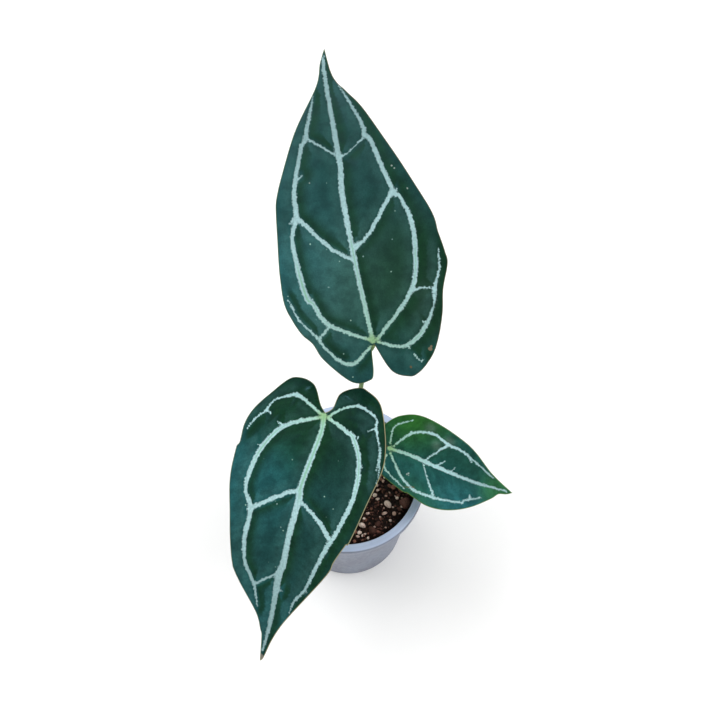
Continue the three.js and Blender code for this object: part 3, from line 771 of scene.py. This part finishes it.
def leaf_top(leaf):
    """Velvety blade with jagged pale veins; places are in the blade's own millimetres."""
    s = Surface(f"leaf_top_{leaf['name']}", Specular_IOR_Level=leaf["specular"],
                Specular_Tint=(0.35, 0.8, 1, 1), Sheen_Weight=0.02, Sheen_Roughness=0.45,
                Sheen_Tint=(0.12, 0.6, 0.6, 1))
    flat = s.attribute("flat", "Vector")
    thread = s.attribute("thread", "Vector")
    gap = s.attribute("gap")
    rim = s.attribute("rim")
    # Between the veins: the zones, clouded, with a fine grain and ripples that run outwards, the ripples
    # painted as bands of light and shade
    cloud = s.noise(flat, 0.13, 4, 0.62)
    grain = s.noise(flat, 1.5, 3, 0.6)
    bands = s.noise(s.attribute("outward", "Vector"), 1, 1, 0.5)
    depth = 1.1 * leaf["ripple"] - 0.1
    light = s.times(s.ease(cloud, 0.3, 0.7, 0.78, 1.24), s.ease(grain, 0.3, 0.7, 0.84, 1.16))
    # Painted light and shade of the outward ripples, deeper on the more rippled leaves
    light = s.times(light, s.ease(bands, 0.32, 0.68, 1 - depth / 2, 1 + depth / 2))
    body = s.scale(s.attribute("tone", "Vector"), light)
    # Veins: pale aqua, greener towards the stalk, with a green line along the middle of the thick ones
    ragged = s.noise(s.stretch(thread, (1, 0.35, 1)), 1.25, 2, 0.7)
    teeth = s.ease(ragged, 0.38, 0.68, 0.28, -0.6)
    drift = s.times(s.math("SUBTRACT", s.noise(flat, 0.3, 2), 0.5), 0.9)
    vein = s.ease(s.plus(gap, s.plus(teeth, drift)), 0.08, -0.1)
    mottle = s.ease(s.noise(flat, 1.1, 3), 0.35, 0.65, 0.86, 1.1)
    pale = s.scale(s.attribute("vein_tone", "Vector"), mottle)
    middle = s.times(s.ease(gap, -0.9, -1.25), s.ease(s.attribute("core"), 0, 1, 0, 0.6))
    colour = s.mix(vein, body, s.mix(middle, pale, (0.16, 0.38, 0.2)))
    # Specks, marks and the margin
    speck = s.ease(s.cells(flat, 0.16), 0.075, 0.05)
    rare = s.ease(s.noise(flat, 0.07, 0), 0.5, 0.56)
    colour = s.mix(s.times(speck, rare), colour, (0.3, 0.5, 0.42))
    ruffled = s.times(s.math("SUBTRACT", s.noise(flat, 0.9, 2), 0.5), 1.2)
    for mark_colour, spots in leaf["marks"]:
        for along, across, radius in spots:
            away = s.plus(s.distance(flat, (along, across, leaf["length"])), ruffled)
            colour = s.mix(s.ease(away, radius + 0.15, radius - 0.15), colour, mark_colour)
    is_right = s.ease(s.parts(flat)[1], -1, 1)
    rim_colour = s.mix(is_right, *leaf["rims"])
    colour = s.mix(s.ease(rim, 0.5, 0.2), colour, rim_colour)
    s.colour(colour)
    shine = s.ease(s.times(s.attribute("gloss"), s.ease(bands, 0.38, 0.55)), 0, 0.8, 0.58, 0.17)
    s.roughness(s.plus(s.ease(cloud, 0.3, 0.7, -0.04, 0.04), shine))
    s.bump(s.noise(flat, 2.2, 2), 0.06)
    s.bump(bands, 0.25, 0.6)
    s.bump(s.cells(flat, 0.22, "DISTANCE_TO_EDGE"), 0.12, 0.4)
    s.bump(s.times(vein, s.noise(flat, 1.4, 2)), 0.12, 0.6)
    return s.material


def leaf_underside(leaf):
    """Paler matt green with pale ribs and a fine raised net."""
    s = Surface(f"leaf_underside_{leaf['name']}", Specular_IOR_Level=0.35)
    flat = s.attribute("flat", "Vector")
    gap = s.attribute("gap")
    rim = s.attribute("rim")
    net = s.cells(flat, 0.3, "DISTANCE_TO_EDGE")
    body = s.mix(s.ease(s.noise(flat, 0.12, 4, 0.6), 0.35, 0.7), (0.06, 0.15, 0.05), (0.1, 0.21, 0.08))
    body = s.mix(s.ease(net, 0.12, 0.0, 0, 0.45), body, (0.17, 0.3, 0.13))
    colour = s.mix(s.ease(gap, 0.6, -0.3), body, (0.26, 0.4, 0.17))
    colour = s.mix(s.ease(rim, 0.5, 0.15), colour, (0.2, 0.26, 0.12))
    s.colour(colour)
    s.roughness(s.ease(s.noise(flat, 0.5, 3), 0.3, 0.7, 0.5, 0.62))
    s.bump(s.ease(net, 0.16, 0.0), 0.16, 0.7)
    s.bump(s.noise(flat, 1.8, 3), 0.05)
    return s.material


def make_leaf(leaf):
    net, triangles, rim, outline, veins = leaf_net(leaf)
    top, below, values = leaf_relief(leaf, net, outline, veins)
    upper = blade_place(leaf, *net.T, top)
    lower = blade_place(leaf, *net.T, below)
    count = len(net)
    faces = [tuple(t) for t in triangles]
    faces += [tuple(i + count for i in reversed(t)) for t in triangles]
    faces += [(end, start, start + count, end + count) for start, end in rim]
    slots = [0] * len(triangles) + [1] * len(triangles) + [0] * len(rim)
    both = {key: np.concatenate([value, value]) for key, value in values.items()}
    piece = make_object(f"leaf_{leaf['name']}", np.vstack([upper, lower]), faces,
                        [leaf_top(leaf), leaf_underside(leaf)], both, slots=slots)
    seat(piece, "leaf", f"blade_{leaf['name']}")


# Stalks, rootstock and sheaths
def tube(path, radius_at, sides, step):
    """A closed tube: its points, faces, and each point's share of the length and angle round it."""
    line = curve_through(path, step, dims=3, centripetal=True)
    run = np.concatenate([[0], np.cumsum(np.linalg.norm(np.diff(line, axis=0), axis=1))])
    shares = run / run[-1]
    ways = np.gradient(line, axis=0)
    ways /= np.linalg.norm(ways, axis=1)[:, None]
    side = np.cross(ways[0], (0.3, 1, 0.1))
    places, share_of, angle_of = [], [], []
    angles = np.linspace(0, 2 * math.pi, sides, endpoint=False)
    for centre, way, share in zip(line, ways, shares):
        side = side - way * (side @ way)
        side /= np.linalg.norm(side)
        up = np.cross(way, side)
        radius = radius_at(share, angles, share * run[-1])
        ring = np.outer(radius * np.cos(angles), side) + np.outer(radius * np.sin(angles), up)
        places.append(centre + ring)
        share_of.append(np.full(sides, share))
        angle_of.append(angles)
    count = sides * len(line)
    places = np.vstack([*places, line[:1], line[-1:]])
    faces = []
    for j in range(sides):
        k = (j + 1) % sides
        for i in range(0, count - sides, sides):
            faces.append((i + j, i + k, i + sides + k, i + sides + j))
        faces.append((count, k, j))
        faces.append((count + 1, count - sides + j, count - sides + k))
    share_of = np.concatenate([*share_of, [0, 1]])
    angle_of = np.concatenate([*angle_of, [0, 0]])
    return places, faces, share_of, angle_of


def stalk_material(leaf):
    s = Surface(f"stalk_{leaf['name']}", Specular_IOR_Level=0.4)
    share = s.attribute("share")
    around = s.attribute("around", "Vector")
    streak = s.noise(s.stretch(around, (1, 1, 0.12)), 2.6, 3, 0.6)
    colour = s.mix(s.ease(streak, 0.35, 0.7), (0.16, 0.25, 0.09), (0.25, 0.36, 0.17))
    colour = s.mix(s.ease(share, 0.25, 0.0), colour, (0.17, 0.13, 0.05))
    colour = s.mix(s.ease(share, 0.94, 0.99), colour, (0.2, 0.3, 0.09))
    dots = s.ease(s.cells(s.stretch(around, (1, 1, 0.45)), 0.9), 0.14, 0.08)
    colour = s.mix(s.times(dots, 0.5), colour, (0.33, 0.36, 0.18))
    s.colour(colour)
    s.roughness(s.ease(streak, 0.3, 0.7, 0.36, 0.5))
    s.bump(streak, 0.12, 0.6)
    return s.material


def make_stalk(leaf):
    ends = np.array(leaf["stalk"], float)
    reach = leaf["length"]

    def radius_at(share, angles, _):
        foot = 1.9 * (1 - smooth(0, 0.28, share))
        joint = 0.75 * smooth(1 - 16 / reach, 1 - 6 / reach, share)
        groove = 0.12 * np.exp(-((angles - 1.2) / 0.45) ** 2) * (1 - smooth(0.85, 0.95, share))
        return leaf["stalk_radius"] + foot + joint - groove

    path = [tuple(p) for p in ends[:-1]] + [tuple(ends[-1] + (0, 0, -1.2))]
    places, faces, share, angle = tube(path, radius_at, 28, 1.2)
    around = np.column_stack([3 * np.cos(angle), 3 * np.sin(angle), share * reach])
    piece = make_object(f"stalk_{leaf['name']}", places, faces, [stalk_material(leaf)],
                        {"share": share, "around": around})
    seat(piece, "petiole", f"petiole_{leaf['name']}")


def rootstock_material():
    s = Surface("rootstock_bark", Specular_IOR_Level=0.25)
    place = s.millimetres()
    rings = s.noise(s.stretch(place, (0.25, 0.25, 1)), 0.9, 3, 0.6)
    colour = s.mix(s.ease(rings, 0.35, 0.65), (0.07, 0.06, 0.025), (0.19, 0.17, 0.08))
    colour = s.mix(s.ease(s.noise(place, 0.35, 3), 0.5, 0.7), colour, (0.1, 0.12, 0.035))
    colour = s.mix(s.ease(s.parts(place)[2], 93, 88), colour, (0.05, 0.03, 0.018))
    s.colour(colour)
    s.roughness(s.ease(rings, 0.3, 0.7, 0.65, 0.85))
    s.bump(s.noise(place, 1.6, 4, 0.65), 0.35)
    return s.material


def make_rootstock():
    places, faces = [], []

    def add(part):
        offset = sum(len(p) for p in places)
        places.append(part[0])
        faces.extend(tuple(i + offset for i in face) for face in part[1])

    def stem_radius(share, angles, run):
        body = STEM_RADIUS * (0.55 + 0.45 * math.sin(math.pi * min(share * 0.75 + 0.1, 1)))
        scars = 0.35 * (1 - abs(math.sin(run * 0.55))) ** 3
        return body - scars + 0.25 * np.sin(3 * angles + run * 0.4) + 0.15 * np.sin(7 * angles - run)

    x, y, top = STEM_TOP
    add(tube([STEM_FOOT, (0, 4.4, 76), (0.3, 4.8, 89), (x, y, top)], stem_radius, 40, 0.8))

    def root_radius(start, end):
        return lambda share, angles, run: ROOT_RADIUS * between(start, end, share) * (
            1 + 0.05 * math.sin(run * 1.3) + 0.04 * np.sin(2 * angles + run * 0.7))

    for i in range(ROOT_COUNT):
        angle = 2 * math.pi * (i + ROOT_TURN) / ROOT_COUNT
        path = [(r * math.cos(angle), 4 + (r - 4) * math.sin(angle), h)
                for r, h in ((1, 72), (13, 69), (25, 54), (29, 34), (26, 16 + 3 * (i % 2)))]
        add(tube(path, root_radius(1, 0.5), 14, 1.6))
    for i in range(AERIAL_ROOT_COUNT):
        angle = 2 * math.pi * (i + AERIAL_ROOT_TURN) / AERIAL_ROOT_COUNT
        path = [(r * math.cos(angle), y + r * math.sin(angle), h) for r, h in AERIAL_ROOT_PATH]
        add(tube(path, root_radius(0.95, 0.7), 18, 0.9))
    piece = make_object("rootstock_fine", np.vstack(places), faces, [rootstock_material()])
    seat(piece, "rootstock", "rootstock")


def sheath_material():
    s = Surface("sheath_paper", Specular_IOR_Level=0.3, Subsurface_Weight=0.15, Subsurface_Scale=0.001)
    around = s.attribute("around", "Vector")
    fibre = s.noise(s.stretch(around, (1, 0.06, 1)), 1.6, 4, 0.65)
    colour = s.mix(s.ease(fibre, 0.3, 0.7), (0.13, 0.07, 0.03), (0.36, 0.24, 0.12))
    colour = s.mix(s.ease(s.noise(around, 0.15, 3), 0.5, 0.7), colour, (0.42, 0.33, 0.2))
    s.colour(colour)
    s.roughness(s.ease(fibre, 0.3, 0.7, 0.6, 0.8))
    s.bump(fibre, 0.25)
    return s.material


def make_sheath(sheath, material):
    rows, columns = 60, 44
    share = np.linspace(0, 1, rows + 1)[:, None]
    across = np.linspace(-1, 1, columns + 1)[None, :]
    half = math.radians(100) * (1.04 - share**1.6)
    angle = math.radians(sheath["facing"]) + half * across
    ragged = 1 - 0.05 * np.abs(np.sin(9 * across + 2)) * smooth(0.6, 1, share)
    height = sheath["height"] * share * ragged
    curl = 0.5 * np.sin(5 * angle + 7 * share) * smooth(0.1, 0.8, share)
    layers = []
    for outward in (0.5, 0.15):
        radius = sheath["radius"] + 1.2 * share**2 + outward + curl
        layers.append(np.stack([radius * np.cos(angle), radius * np.sin(angle),
                                np.broadcast_to(height, angle.shape)], axis=-1).reshape(-1, 3))
    axis = Vector(sheath["lean"]).normalized()
    turned = np.array(Vector((0, 0, 1)).rotation_difference(axis).to_matrix())
    places = np.vstack(layers) @ turned.T + np.array(sheath["foot"]) - (0, 0, 1.5)
    wide = columns + 1
    inner = wide * (rows + 1)
    faces = []
    for i in range(rows):
        for j in range(columns):
            a = i * wide + j
            b, c, d = a + 1, a + wide + 1, a + wide
            faces.append((a, b, c, d))
            faces.append((inner + a, inner + d, inner + c, inner + b))
    wall = [(j, j + 1) for j in range(columns)]
    wall += [(rows * wide + j + 1, rows * wide + j) for j in range(columns)]
    wall += [((i + 1) * wide, i * wide) for i in range(rows)]
    wall += [(i * wide + columns, (i + 1) * wide + columns) for i in range(rows)]
    faces += [(b, a, inner + a, inner + b) for a, b in wall]
    flat = np.column_stack([np.tile((angle * sheath["radius"]).reshape(-1), 2),
                            np.tile(np.broadcast_to(height, angle.shape).reshape(-1), 2),
                            np.zeros(2 * inner)])
    piece = make_object(f"{sheath['name']}_fine", places, faces, [material], {"around": flat})
    seat(piece, "sheath", sheath["name"])


# Pot
def inside_radius(height):
    return between(BASE_RADIUS - WALL, MOUTH_RADIUS, (height - FLOOR) / (POT_HEIGHT - FLOOR))


def lathe(profile, sides):
    """A closed turned body from a profile that starts and ends on the axis."""
    profile = np.array(profile, float)
    angles = np.linspace(0, 2 * math.pi, sides, endpoint=False)
    rings = [np.column_stack([r * np.cos(angles), r * np.sin(angles), np.full(sides, h)])
             for r, h in profile[1:-1]]
    places = np.vstack([*rings, [(0, 0, profile[0, 1])], [(0, 0, profile[-1, 1])]])
    count = sides * len(rings)
    faces = []
    for j in range(sides):
        k = (j + 1) % sides
        faces.append((count, k, j))
        for i in range(0, count - sides, sides):
            faces.append((i + j, i + k, i + sides + k, i + sides + j))
        faces.append((count + 1, count - sides + j, count - sides + k))
    return places, faces


def arc(centre, radius, start, end, count):
    """Points of a round corner, its angles in degrees from +radius towards +height."""
    return [(centre[0] + radius * math.cos(math.radians(a)), centre[1] + radius * math.sin(math.radians(a)))
            for a in np.linspace(start, end, count)]


def pot_profile():
    step_height = POT_HEIGHT - STEP_BELOW_TOP
    under_lip = POT_HEIGHT - WALL
    wall = []
    for height in np.arange(1.6, step_height, 0.8):
        wall.append((inside_radius(height) + WALL + 0.05 * math.sin(height * 1.9), height))
    collar = []
    for height in np.arange(step_height + 1, under_lip - 0.4, 0.8):
        collar.append((inside_radius(height) + WALL + STEP_DEPTH, height))
    inner = []
    for height in np.arange(POT_HEIGHT - 2, FLOOR + 1, -2):
        inner.append((inside_radius(height), height))
    return [
        (0, 0.6),
        (BASE_RADIUS - 6, 0.6),
        (BASE_RADIUS - 5, 0),
        (BASE_RADIUS - 2, 0),
        *arc((BASE_RADIUS - 1.4, 1.4), 1.4, -90, -5, 6),
        *wall,
        *collar,
        (inside_radius(under_lip) + WALL + STEP_DEPTH + 0.4, under_lip),
        (RIM_RADIUS - WALL - 0.4, under_lip),
        (RIM_RADIUS - WALL, under_lip - 0.4),
        (RIM_RADIUS - WALL, POT_HEIGHT - RIM_DEPTH + 0.3),
        *arc((RIM_RADIUS - 0.75, POT_HEIGHT - RIM_DEPTH + 0.45), 0.5, 200, 360, 7),
        *arc((RIM_RADIUS - 1.7, POT_HEIGHT - 1.7), 1.7, 0, 80, 9),
        (RIM_RADIUS - 3, POT_HEIGHT - 0.25),
        (MOUTH_RADIUS + 1.4, POT_HEIGHT - 0.1),
        *arc((MOUTH_RADIUS + 0.8, POT_HEIGHT - 0.8), 0.8, 80, 185, 7),
        *inner,
        (inside_radius(FLOOR + 0.5), FLOOR + 0.3),
        (inside_radius(FLOOR) - 0.8, FLOOR),
        (0, FLOOR),
    ]


def pot_material():
    """Milky lavender plastic, a little see-through, with faint rings from its mould, a lip top painted
    lighter and a body painted darker.
    """
    s = Surface("pot_plastic", Subsurface_Weight=0.3, Subsurface_Scale=0.003,
                Subsurface_Radius=(0.8, 0.9, 1), Specular_IOR_Level=0.4)
    place = s.millimetres()
    height = s.parts(place)[2]
    cloud = s.noise(s.stretch(place, (1, 1, 0.45)), 0.045, 3, 0.55)
    ring = s.noise(s.stretch(place, (0.02, 0.02, 1)), 0.55, 2)
    # The body is darker than the lip: partly painted shade, partly the dark mix seen through the wall
    body = s.mix(s.ease(cloud, 0.35, 0.65), (0.145, 0.163, 0.225), (0.19, 0.22, 0.30))
    body = s.mix(s.ease(ring, 0.3, 0.7, 0, 0.3), body, (0.13, 0.145, 0.195))
    # The lip's top is painted lighter: painted light where it faces the lamps
    painted_lit_lip = s.mix(s.ease(cloud, 0.3, 0.7), (0.46, 0.545, 0.75), (0.53, 0.61, 0.82))
    s.colour(s.mix(s.ease(height, POT_HEIGHT - 0.8, POT_HEIGHT - 0.15), body, painted_lit_lip))
    s.roughness(s.ease(s.noise(place, 0.4, 3), 0.3, 0.7, 0.32, 0.44))
    s.bump(ring, 0.1, 0.4)
    s.bump(s.noise(place, 0.3, 2), 0.02)
    return s.material


def make_pot():
    places, faces = lathe(pot_profile(), POT_SIDES)
    piece = make_object("pot_fine", places, faces, [pot_material()])
    drills = bmesh.new()
    for i in range(DRAIN_COUNT):
        angle = 2 * math.pi * (i + 0.5) / DRAIN_COUNT
        ring = DRAIN_RING_RADIUS * MM
        centre = Matrix.Translation((ring * math.cos(angle), ring * math.sin(angle), 0))
        bmesh.ops.create_cone(drills, cap_ends=True, segments=32, radius1=DRAIN_RADIUS * MM,
                              radius2=DRAIN_RADIUS * MM, depth=4 * FLOOR * MM, matrix=centre)
    mesh = bpy.data.meshes.new("drills")
    drills.to_mesh(mesh)
    drills.free()
    cutter = bpy.data.objects.new("drills", mesh)
    bpy.context.scene.collection.objects.link(cutter)
    cut = piece.modifiers.new("drains", "BOOLEAN")
    cut.operation = "DIFFERENCE"
    cut.object = cutter
    cut.solver = "EXACT"
    bpy.context.view_layer.update()
    evaluated = piece.evaluated_get(bpy.context.evaluated_depsgraph_get())
    finished = bpy.data.meshes.new_from_object(evaluated)
    piece.modifiers.clear()
    piece.data = finished
    bpy.data.objects.remove(cutter)
    seat(piece, "pot", "pot")


# Potting mix
def mix_height(radius):
    return MIX_LEVEL + MIX_DOME * (1 - (radius / MOUTH_RADIUS) ** 2)


def mix_material():
    s = Surface("mix_fines", Specular_IOR_Level=0.2)
    place = s.millimetres()
    crumb = s.noise(place, 0.7, 5, 0.7)
    colour = s.mix(s.ease(crumb, 0.35, 0.7), (0.006, 0.003, 0.003), (0.035, 0.016, 0.011))
    colour = s.mix(s.ease(s.noise(place, 0.25, 3), 0.55, 0.75), colour, (0.05, 0.02, 0.012))
    s.colour(colour)
    s.roughness(s.ease(crumb, 0.3, 0.7, 0.7, 0.95))
    s.bump(crumb, 0.9)
    return s.material


def make_mix_bed():
    """The fines: a rough top, dropped along the wall, on a plain body that fills the pot."""
    edge = inside_radius(MIX_LEVEL) - GAP
    rings = np.linspace(0, 1, 64)[1:] ** 0.8
    profile = [(0, FLOOR + GAP), (inside_radius(FLOOR) - 1, FLOOR + GAP)]
    profile += [(inside_radius(h) - GAP, h) for h in np.linspace(8, MIX_LEVEL - 3, 12)]
    start = len(profile) - 1
    profile += [(edge * share, mix_height(edge * share)) for share in rings[::-1]]
    profile += [(0, mix_height(0))]
    places, faces = lathe(profile, MIX_SIDES)
    top = places[start * MIX_SIDES:-2]
    radius = np.hypot(top[:, 0], top[:, 1])
    rough = np.array([
        1.1 * noise.noise((x / 5, y / 5, 3)) + 0.7 * noise.noise((x / 2, y / 2, 9))
        + 0.35 * noise.noise((x / 0.9, y / 0.9, 5)) for x, y, _ in top
    ])
    drop = 1.1 + 2.2 * smooth(edge - 3.5, edge, radius)
    places[start * MIX_SIDES:-2, 2] = top[:, 2] + rough - drop
    piece = make_object("mix_bed", places, faces, [mix_material()])
    seat(piece, "potting_mix", "potting_mix")


def unit_sphere(divisions):
    ball = bmesh.new()
    bmesh.ops.create_icosphere(ball, subdivisions=divisions, radius=1)
    places = np.array([v.co for v in ball.verts])
    faces = np.array([[v.index for v in f.verts] for f in ball.faces])
    ball.free()
    return places, faces


SPHERES = {}


def lump(draw, radius, divisions, sharpness, stretch, pits):
    """A stone or chip: a ball cut by random planes, its corners worn rounder the lower the sharpness."""
    if divisions not in SPHERES:
        SPHERES[divisions] = unit_sphere(divisions)
    ball, faces = SPHERES[divisions]
    planes = draw.normal(size=(LUMP_PLANES, 3))
    planes /= np.linalg.norm(planes, axis=1)[:, None]
    depths = draw.uniform(0.78, 1.05, LUMP_PLANES)
    hits = np.maximum(ball @ planes.T, 0) / depths
    reach = ((hits**sharpness).sum(axis=1) + LUMP_LIMIT**-sharpness) ** (-1 / sharpness)
    places = ball * reach[:, None] * radius
    if pits:
        shift = draw.uniform(0, 90, 3)
        bumps = np.array([noise.noise(Vector(p) * 1.3 + Vector(shift)) for p in places])
        fine = np.array([noise.noise(Vector(p) * 3.4 + Vector(shift)) for p in places])
        places = places * (1 + pits * (0.6 * bumps + 0.4 * fine) / radius)[:, None]
    places = places * stretch
    turns = [Matrix.Rotation(draw.uniform(-0.5, 0.5), 3, axis) for axis in "XY"]
    turned = np.array(Matrix.Rotation(draw.uniform(0, 2 * math.pi), 3, "Z") @ turns[0] @ turns[1])
    return places @ turned.T, faces


def is_clear(x, y, radius):
    """True where no stem, stalk foot or aerial root stands in the mix."""
    if math.hypot(x - STEM_TOP[0], y - STEM_TOP[1]) < ROOM_ROUND_STEM + radius:
        return False
    for i in range(AERIAL_ROOT_COUNT):
        angle = 2 * math.pi * (i + AERIAL_ROOT_TURN) / AERIAL_ROOT_COUNT
        for reach in (9, 12, 15, 18.3):
            away = math.hypot(x - reach * math.cos(angle), y - STEM_TOP[1] - reach * math.sin(angle))
            if away < ROOM_ROUND_ROOT + radius:
                return False
    return True


def chip_places():
    """The same chips as on the solid: the big ones from their list, then those of its own draw."""
    draw = seeded_random(SOLID_CHIP_SEED)
    placed = list(BIG_CHIPS)
    while len(placed) < len(BIG_CHIPS) + CHIP_COUNT:
        distance = math.sqrt(next(draw)) * (MOUTH_RADIUS - 3.5)
        angle = 2 * math.pi * next(draw)
        radius = between(*CHIP_RADII, next(draw) ** 2)
        x, y = distance * math.cos(angle), distance * math.sin(angle)
        crowded = any(math.hypot(px - x, py - y) < CHIP_SPACING / 2 + pr for px, py, pr in placed)
        if not crowded and math.hypot(x, y - STEM_TOP[1]) > CLEAR_OF_STEM:
            placed.append((x, y, radius))
    return placed


def chip_material(name, darks, pales, pits):
    """Chips whose tint runs from darks to pales by each chip's own number."""
    s = Surface(name, Specular_IOR_Level=0.25)
    tint = s.attribute("tint")
    place = s.millimetres()
    grain = s.noise(place, 1.1, 5, 0.7)
    dark = s.mix(s.ease(tint, 0.0, 1.0), darks[0], pales[0])
    light = s.mix(s.ease(tint, 0.0, 1.0), darks[1], pales[1])
    colour = s.mix(s.ease(grain, 0.36, 0.62), dark, light)
    hole = s.ease(s.cells(place, 1.1), 0.22, 0.1, 0, pits)
    colour = s.mix(hole, colour, (0.03, 0.014, 0.01))
    s.colour(colour)
    s.roughness(s.ease(grain, 0.3, 0.7, 0.65, 0.9))
    s.bump(grain, 0.5)
    s.bump(s.cells(place, 1.1), 0.25, pits)
    return s.material


def gather(name, parts, material):
    """One piece from many lumps, each with its tint."""
    places, faces, tints = [], [], []
    offset = 0
    for part, part_faces, tint in parts:
        places.append(part)
        faces.append(part_faces + offset)
        tints.append(np.full(len(part), tint))
        offset += len(part)
    piece = make_object(name, np.vstack(places), np.vstack(faces).tolist(), [material],
                        {"tint": np.concatenate(tints)})
    seat(piece, "potting_mix")


def random_spot(draw, from_wall, radii, power):
    """A place on the mix, its distance from the middle and a radius, mostly a small one."""
    distance = math.sqrt(draw.random()) * (MOUTH_RADIUS - from_wall)
    angle = draw.uniform(0, 2 * math.pi)
    radius = between(*radii, draw.random() ** power)
    return distance * math.cos(angle), distance * math.sin(angle), distance, radius


def random_stretch(draw, *ranges):
    return np.array([draw.uniform(low, high) for low, high in ranges])


def make_chips():
    draw = np.random.default_rng(CHIP_SEED)
    pumice, bark, crumbs = [], [], []
    placed = chip_places()
    for number, (x, y, radius) in enumerate(placed + PALE_CHIPS):
        is_pumice = number in PUMICE_AMONG_BIG or number >= len(placed) or (
            number >= len(BIG_CHIPS) and draw.random() < PUMICE_SHARE)
        stretch = random_stretch(draw, (0.95, 1.12), (0.8, 0.95), (0.7, 0.85))
        part, faces = lump(draw, radius, 3 if radius > 1.3 else 2, 3 if is_pumice else 10, stretch, 0.16)
        part = part + (x, y, mix_height(math.hypot(x, y)) + 0.25 * radius)
        (pumice if is_pumice else bark).append((part, faces, draw.uniform(0, 1)))
    small = []
    while len(small) < SMALL_CHIP_COUNT:
        x, y, distance, radius = random_spot(draw, 3, (0.6, 1.35), 1.6)
        others = placed + PALE_CHIPS + small
        crowded = any(math.hypot(px - x, py - y) < 0.8 * (pr + radius) for px, py, pr in others)
        if crowded or not is_clear(x, y, radius):
            continue
        small.append((x, y, radius))
        stretch = random_stretch(draw, (1, 1.4), (0.7, 1), (0.6, 0.85))
        part, faces = lump(draw, radius, 2, 7, stretch, 0.15)
        part = part + (x, y, mix_height(distance) - 0.4 + 0.2 * radius)
        (pumice if draw.random() < SMALL_PUMICE_SHARE else bark).append((part, faces, draw.uniform(0, 1)))
    while len(crumbs) < CRUMB_COUNT:
        x, y, distance, radius = random_spot(draw, 2.4, (0.35, 0.95), 1.5)
        if not is_clear(x, y, radius):
            continue
        stretch = random_stretch(draw, (1, 1.6), (0.6, 1), (0.5, 0.9))
        part, faces = lump(draw, radius, 1, 12, stretch, 0)
        drop = 1.6 * float(smooth(MOUTH_RADIUS - 5, MOUTH_RADIUS - 2, distance))
        part = part + (x, y, mix_height(distance) - draw.uniform(0.3, 1.2) - drop)
        crumbs.append((part, faces, draw.uniform(0, 1) ** 2))
    pumice_look = chip_material("pumice", ((0.42, 0.24, 0.19), (0.70, 0.48, 0.41)),
                                ((0.68, 0.48, 0.41), (0.95, 0.80, 0.74)), 0.25)
    bark_look = chip_material("bark", ((0.012, 0.005, 0.005), (0.03, 0.013, 0.011)),
                              ((0.17, 0.058, 0.042), (0.38, 0.17, 0.125)), 0.3)
    crumb_look = chip_material("crumbs", ((0.006, 0.003, 0.003), (0.02, 0.009, 0.008)),
                               ((0.13, 0.045, 0.033), (0.32, 0.15, 0.115)), 0.2)
    gather("pumice_chips", pumice, pumice_look)
    gather("bark_chips", bark, bark_look)
    gather("mix_crumbs", crumbs, crumb_look)


# Camera, floor and light
def make_camera():
    data = bpy.data.cameras.new("camera")
    data.lens = CAMERA_LENS
    data.sensor_width = CAMERA_SENSOR
    data.clip_start = 0.01
    data.clip_end = 20
    camera = bpy.data.objects.new("camera", data)
    camera.location = Vector(CAMERA_PLACE) * MM
    camera.rotation_euler = (math.radians(90 - CAMERA_DIP), 0, 0)
    bpy.context.scene.collection.objects.link(camera)
    bpy.context.scene.camera = camera


def make_floor():
    s = Surface("floor_paper", Specular_IOR_Level=0.1, Emission_Color=(1, 1, 1, 1), Emission_Strength=0.1)
    place = s.place()
    s.colour(s.mix(s.ease(s.noise(place, 9, 2), 0.3, 0.7), (0.86, 0.86, 0.86), (0.88, 0.88, 0.88)))
    s.roughness(s.ease(s.noise(place, 60, 2), 0.3, 0.7, 0.8, 0.9))
    corners = [(x * FLOOR_HALF, y * FLOOR_HALF, 0) for x, y in ((-1, -1), (1, -1), (1, 1), (-1, 1))]
    floor = make_object("floor", corners, [(0, 1, 2, 3)], [s.material])


def area_light(name, place, target, size, power, colour, missed_by):
    data = bpy.data.lights.new(name, "AREA")
    data.shape = "RECTANGLE"
    data.size, data.size_y = size
    data.energy = power
    data.color = colour
    light = bpy.data.objects.new(name, data)
    light.location = place
    light.rotation_euler = (Vector(target) - Vector(place)).to_track_quat("-Z", "Y").to_euler()
    setattr(light, f"visible_{missed_by}", False)
    bpy.context.scene.collection.objects.link(light)


def make_light():
    """Broad soft lights that cast the shadows, and two bright windows that only show in the gloss."""
    world = bpy.data.worlds.new("studio")
    world.use_nodes = True
    background = world.node_tree.nodes["Background"]
    background.inputs["Color"].default_value = SKY_COLOUR
    background.inputs["Strength"].default_value = SKY_STRENGTH
    bpy.context.scene.world = world
    for light in LIGHTS:
        area_light(*light)
    bpy.context.scene.view_settings.view_transform = "Standard"


make_camera()
make_floor()
make_light()
for leaf in LEAVES:
    make_leaf(leaf)
    make_stalk(leaf)
make_rootstock()
paper = sheath_material()
for sheath in SHEATHS:
    make_sheath(sheath, paper)
make_pot()
make_mix_bed()
make_chips()
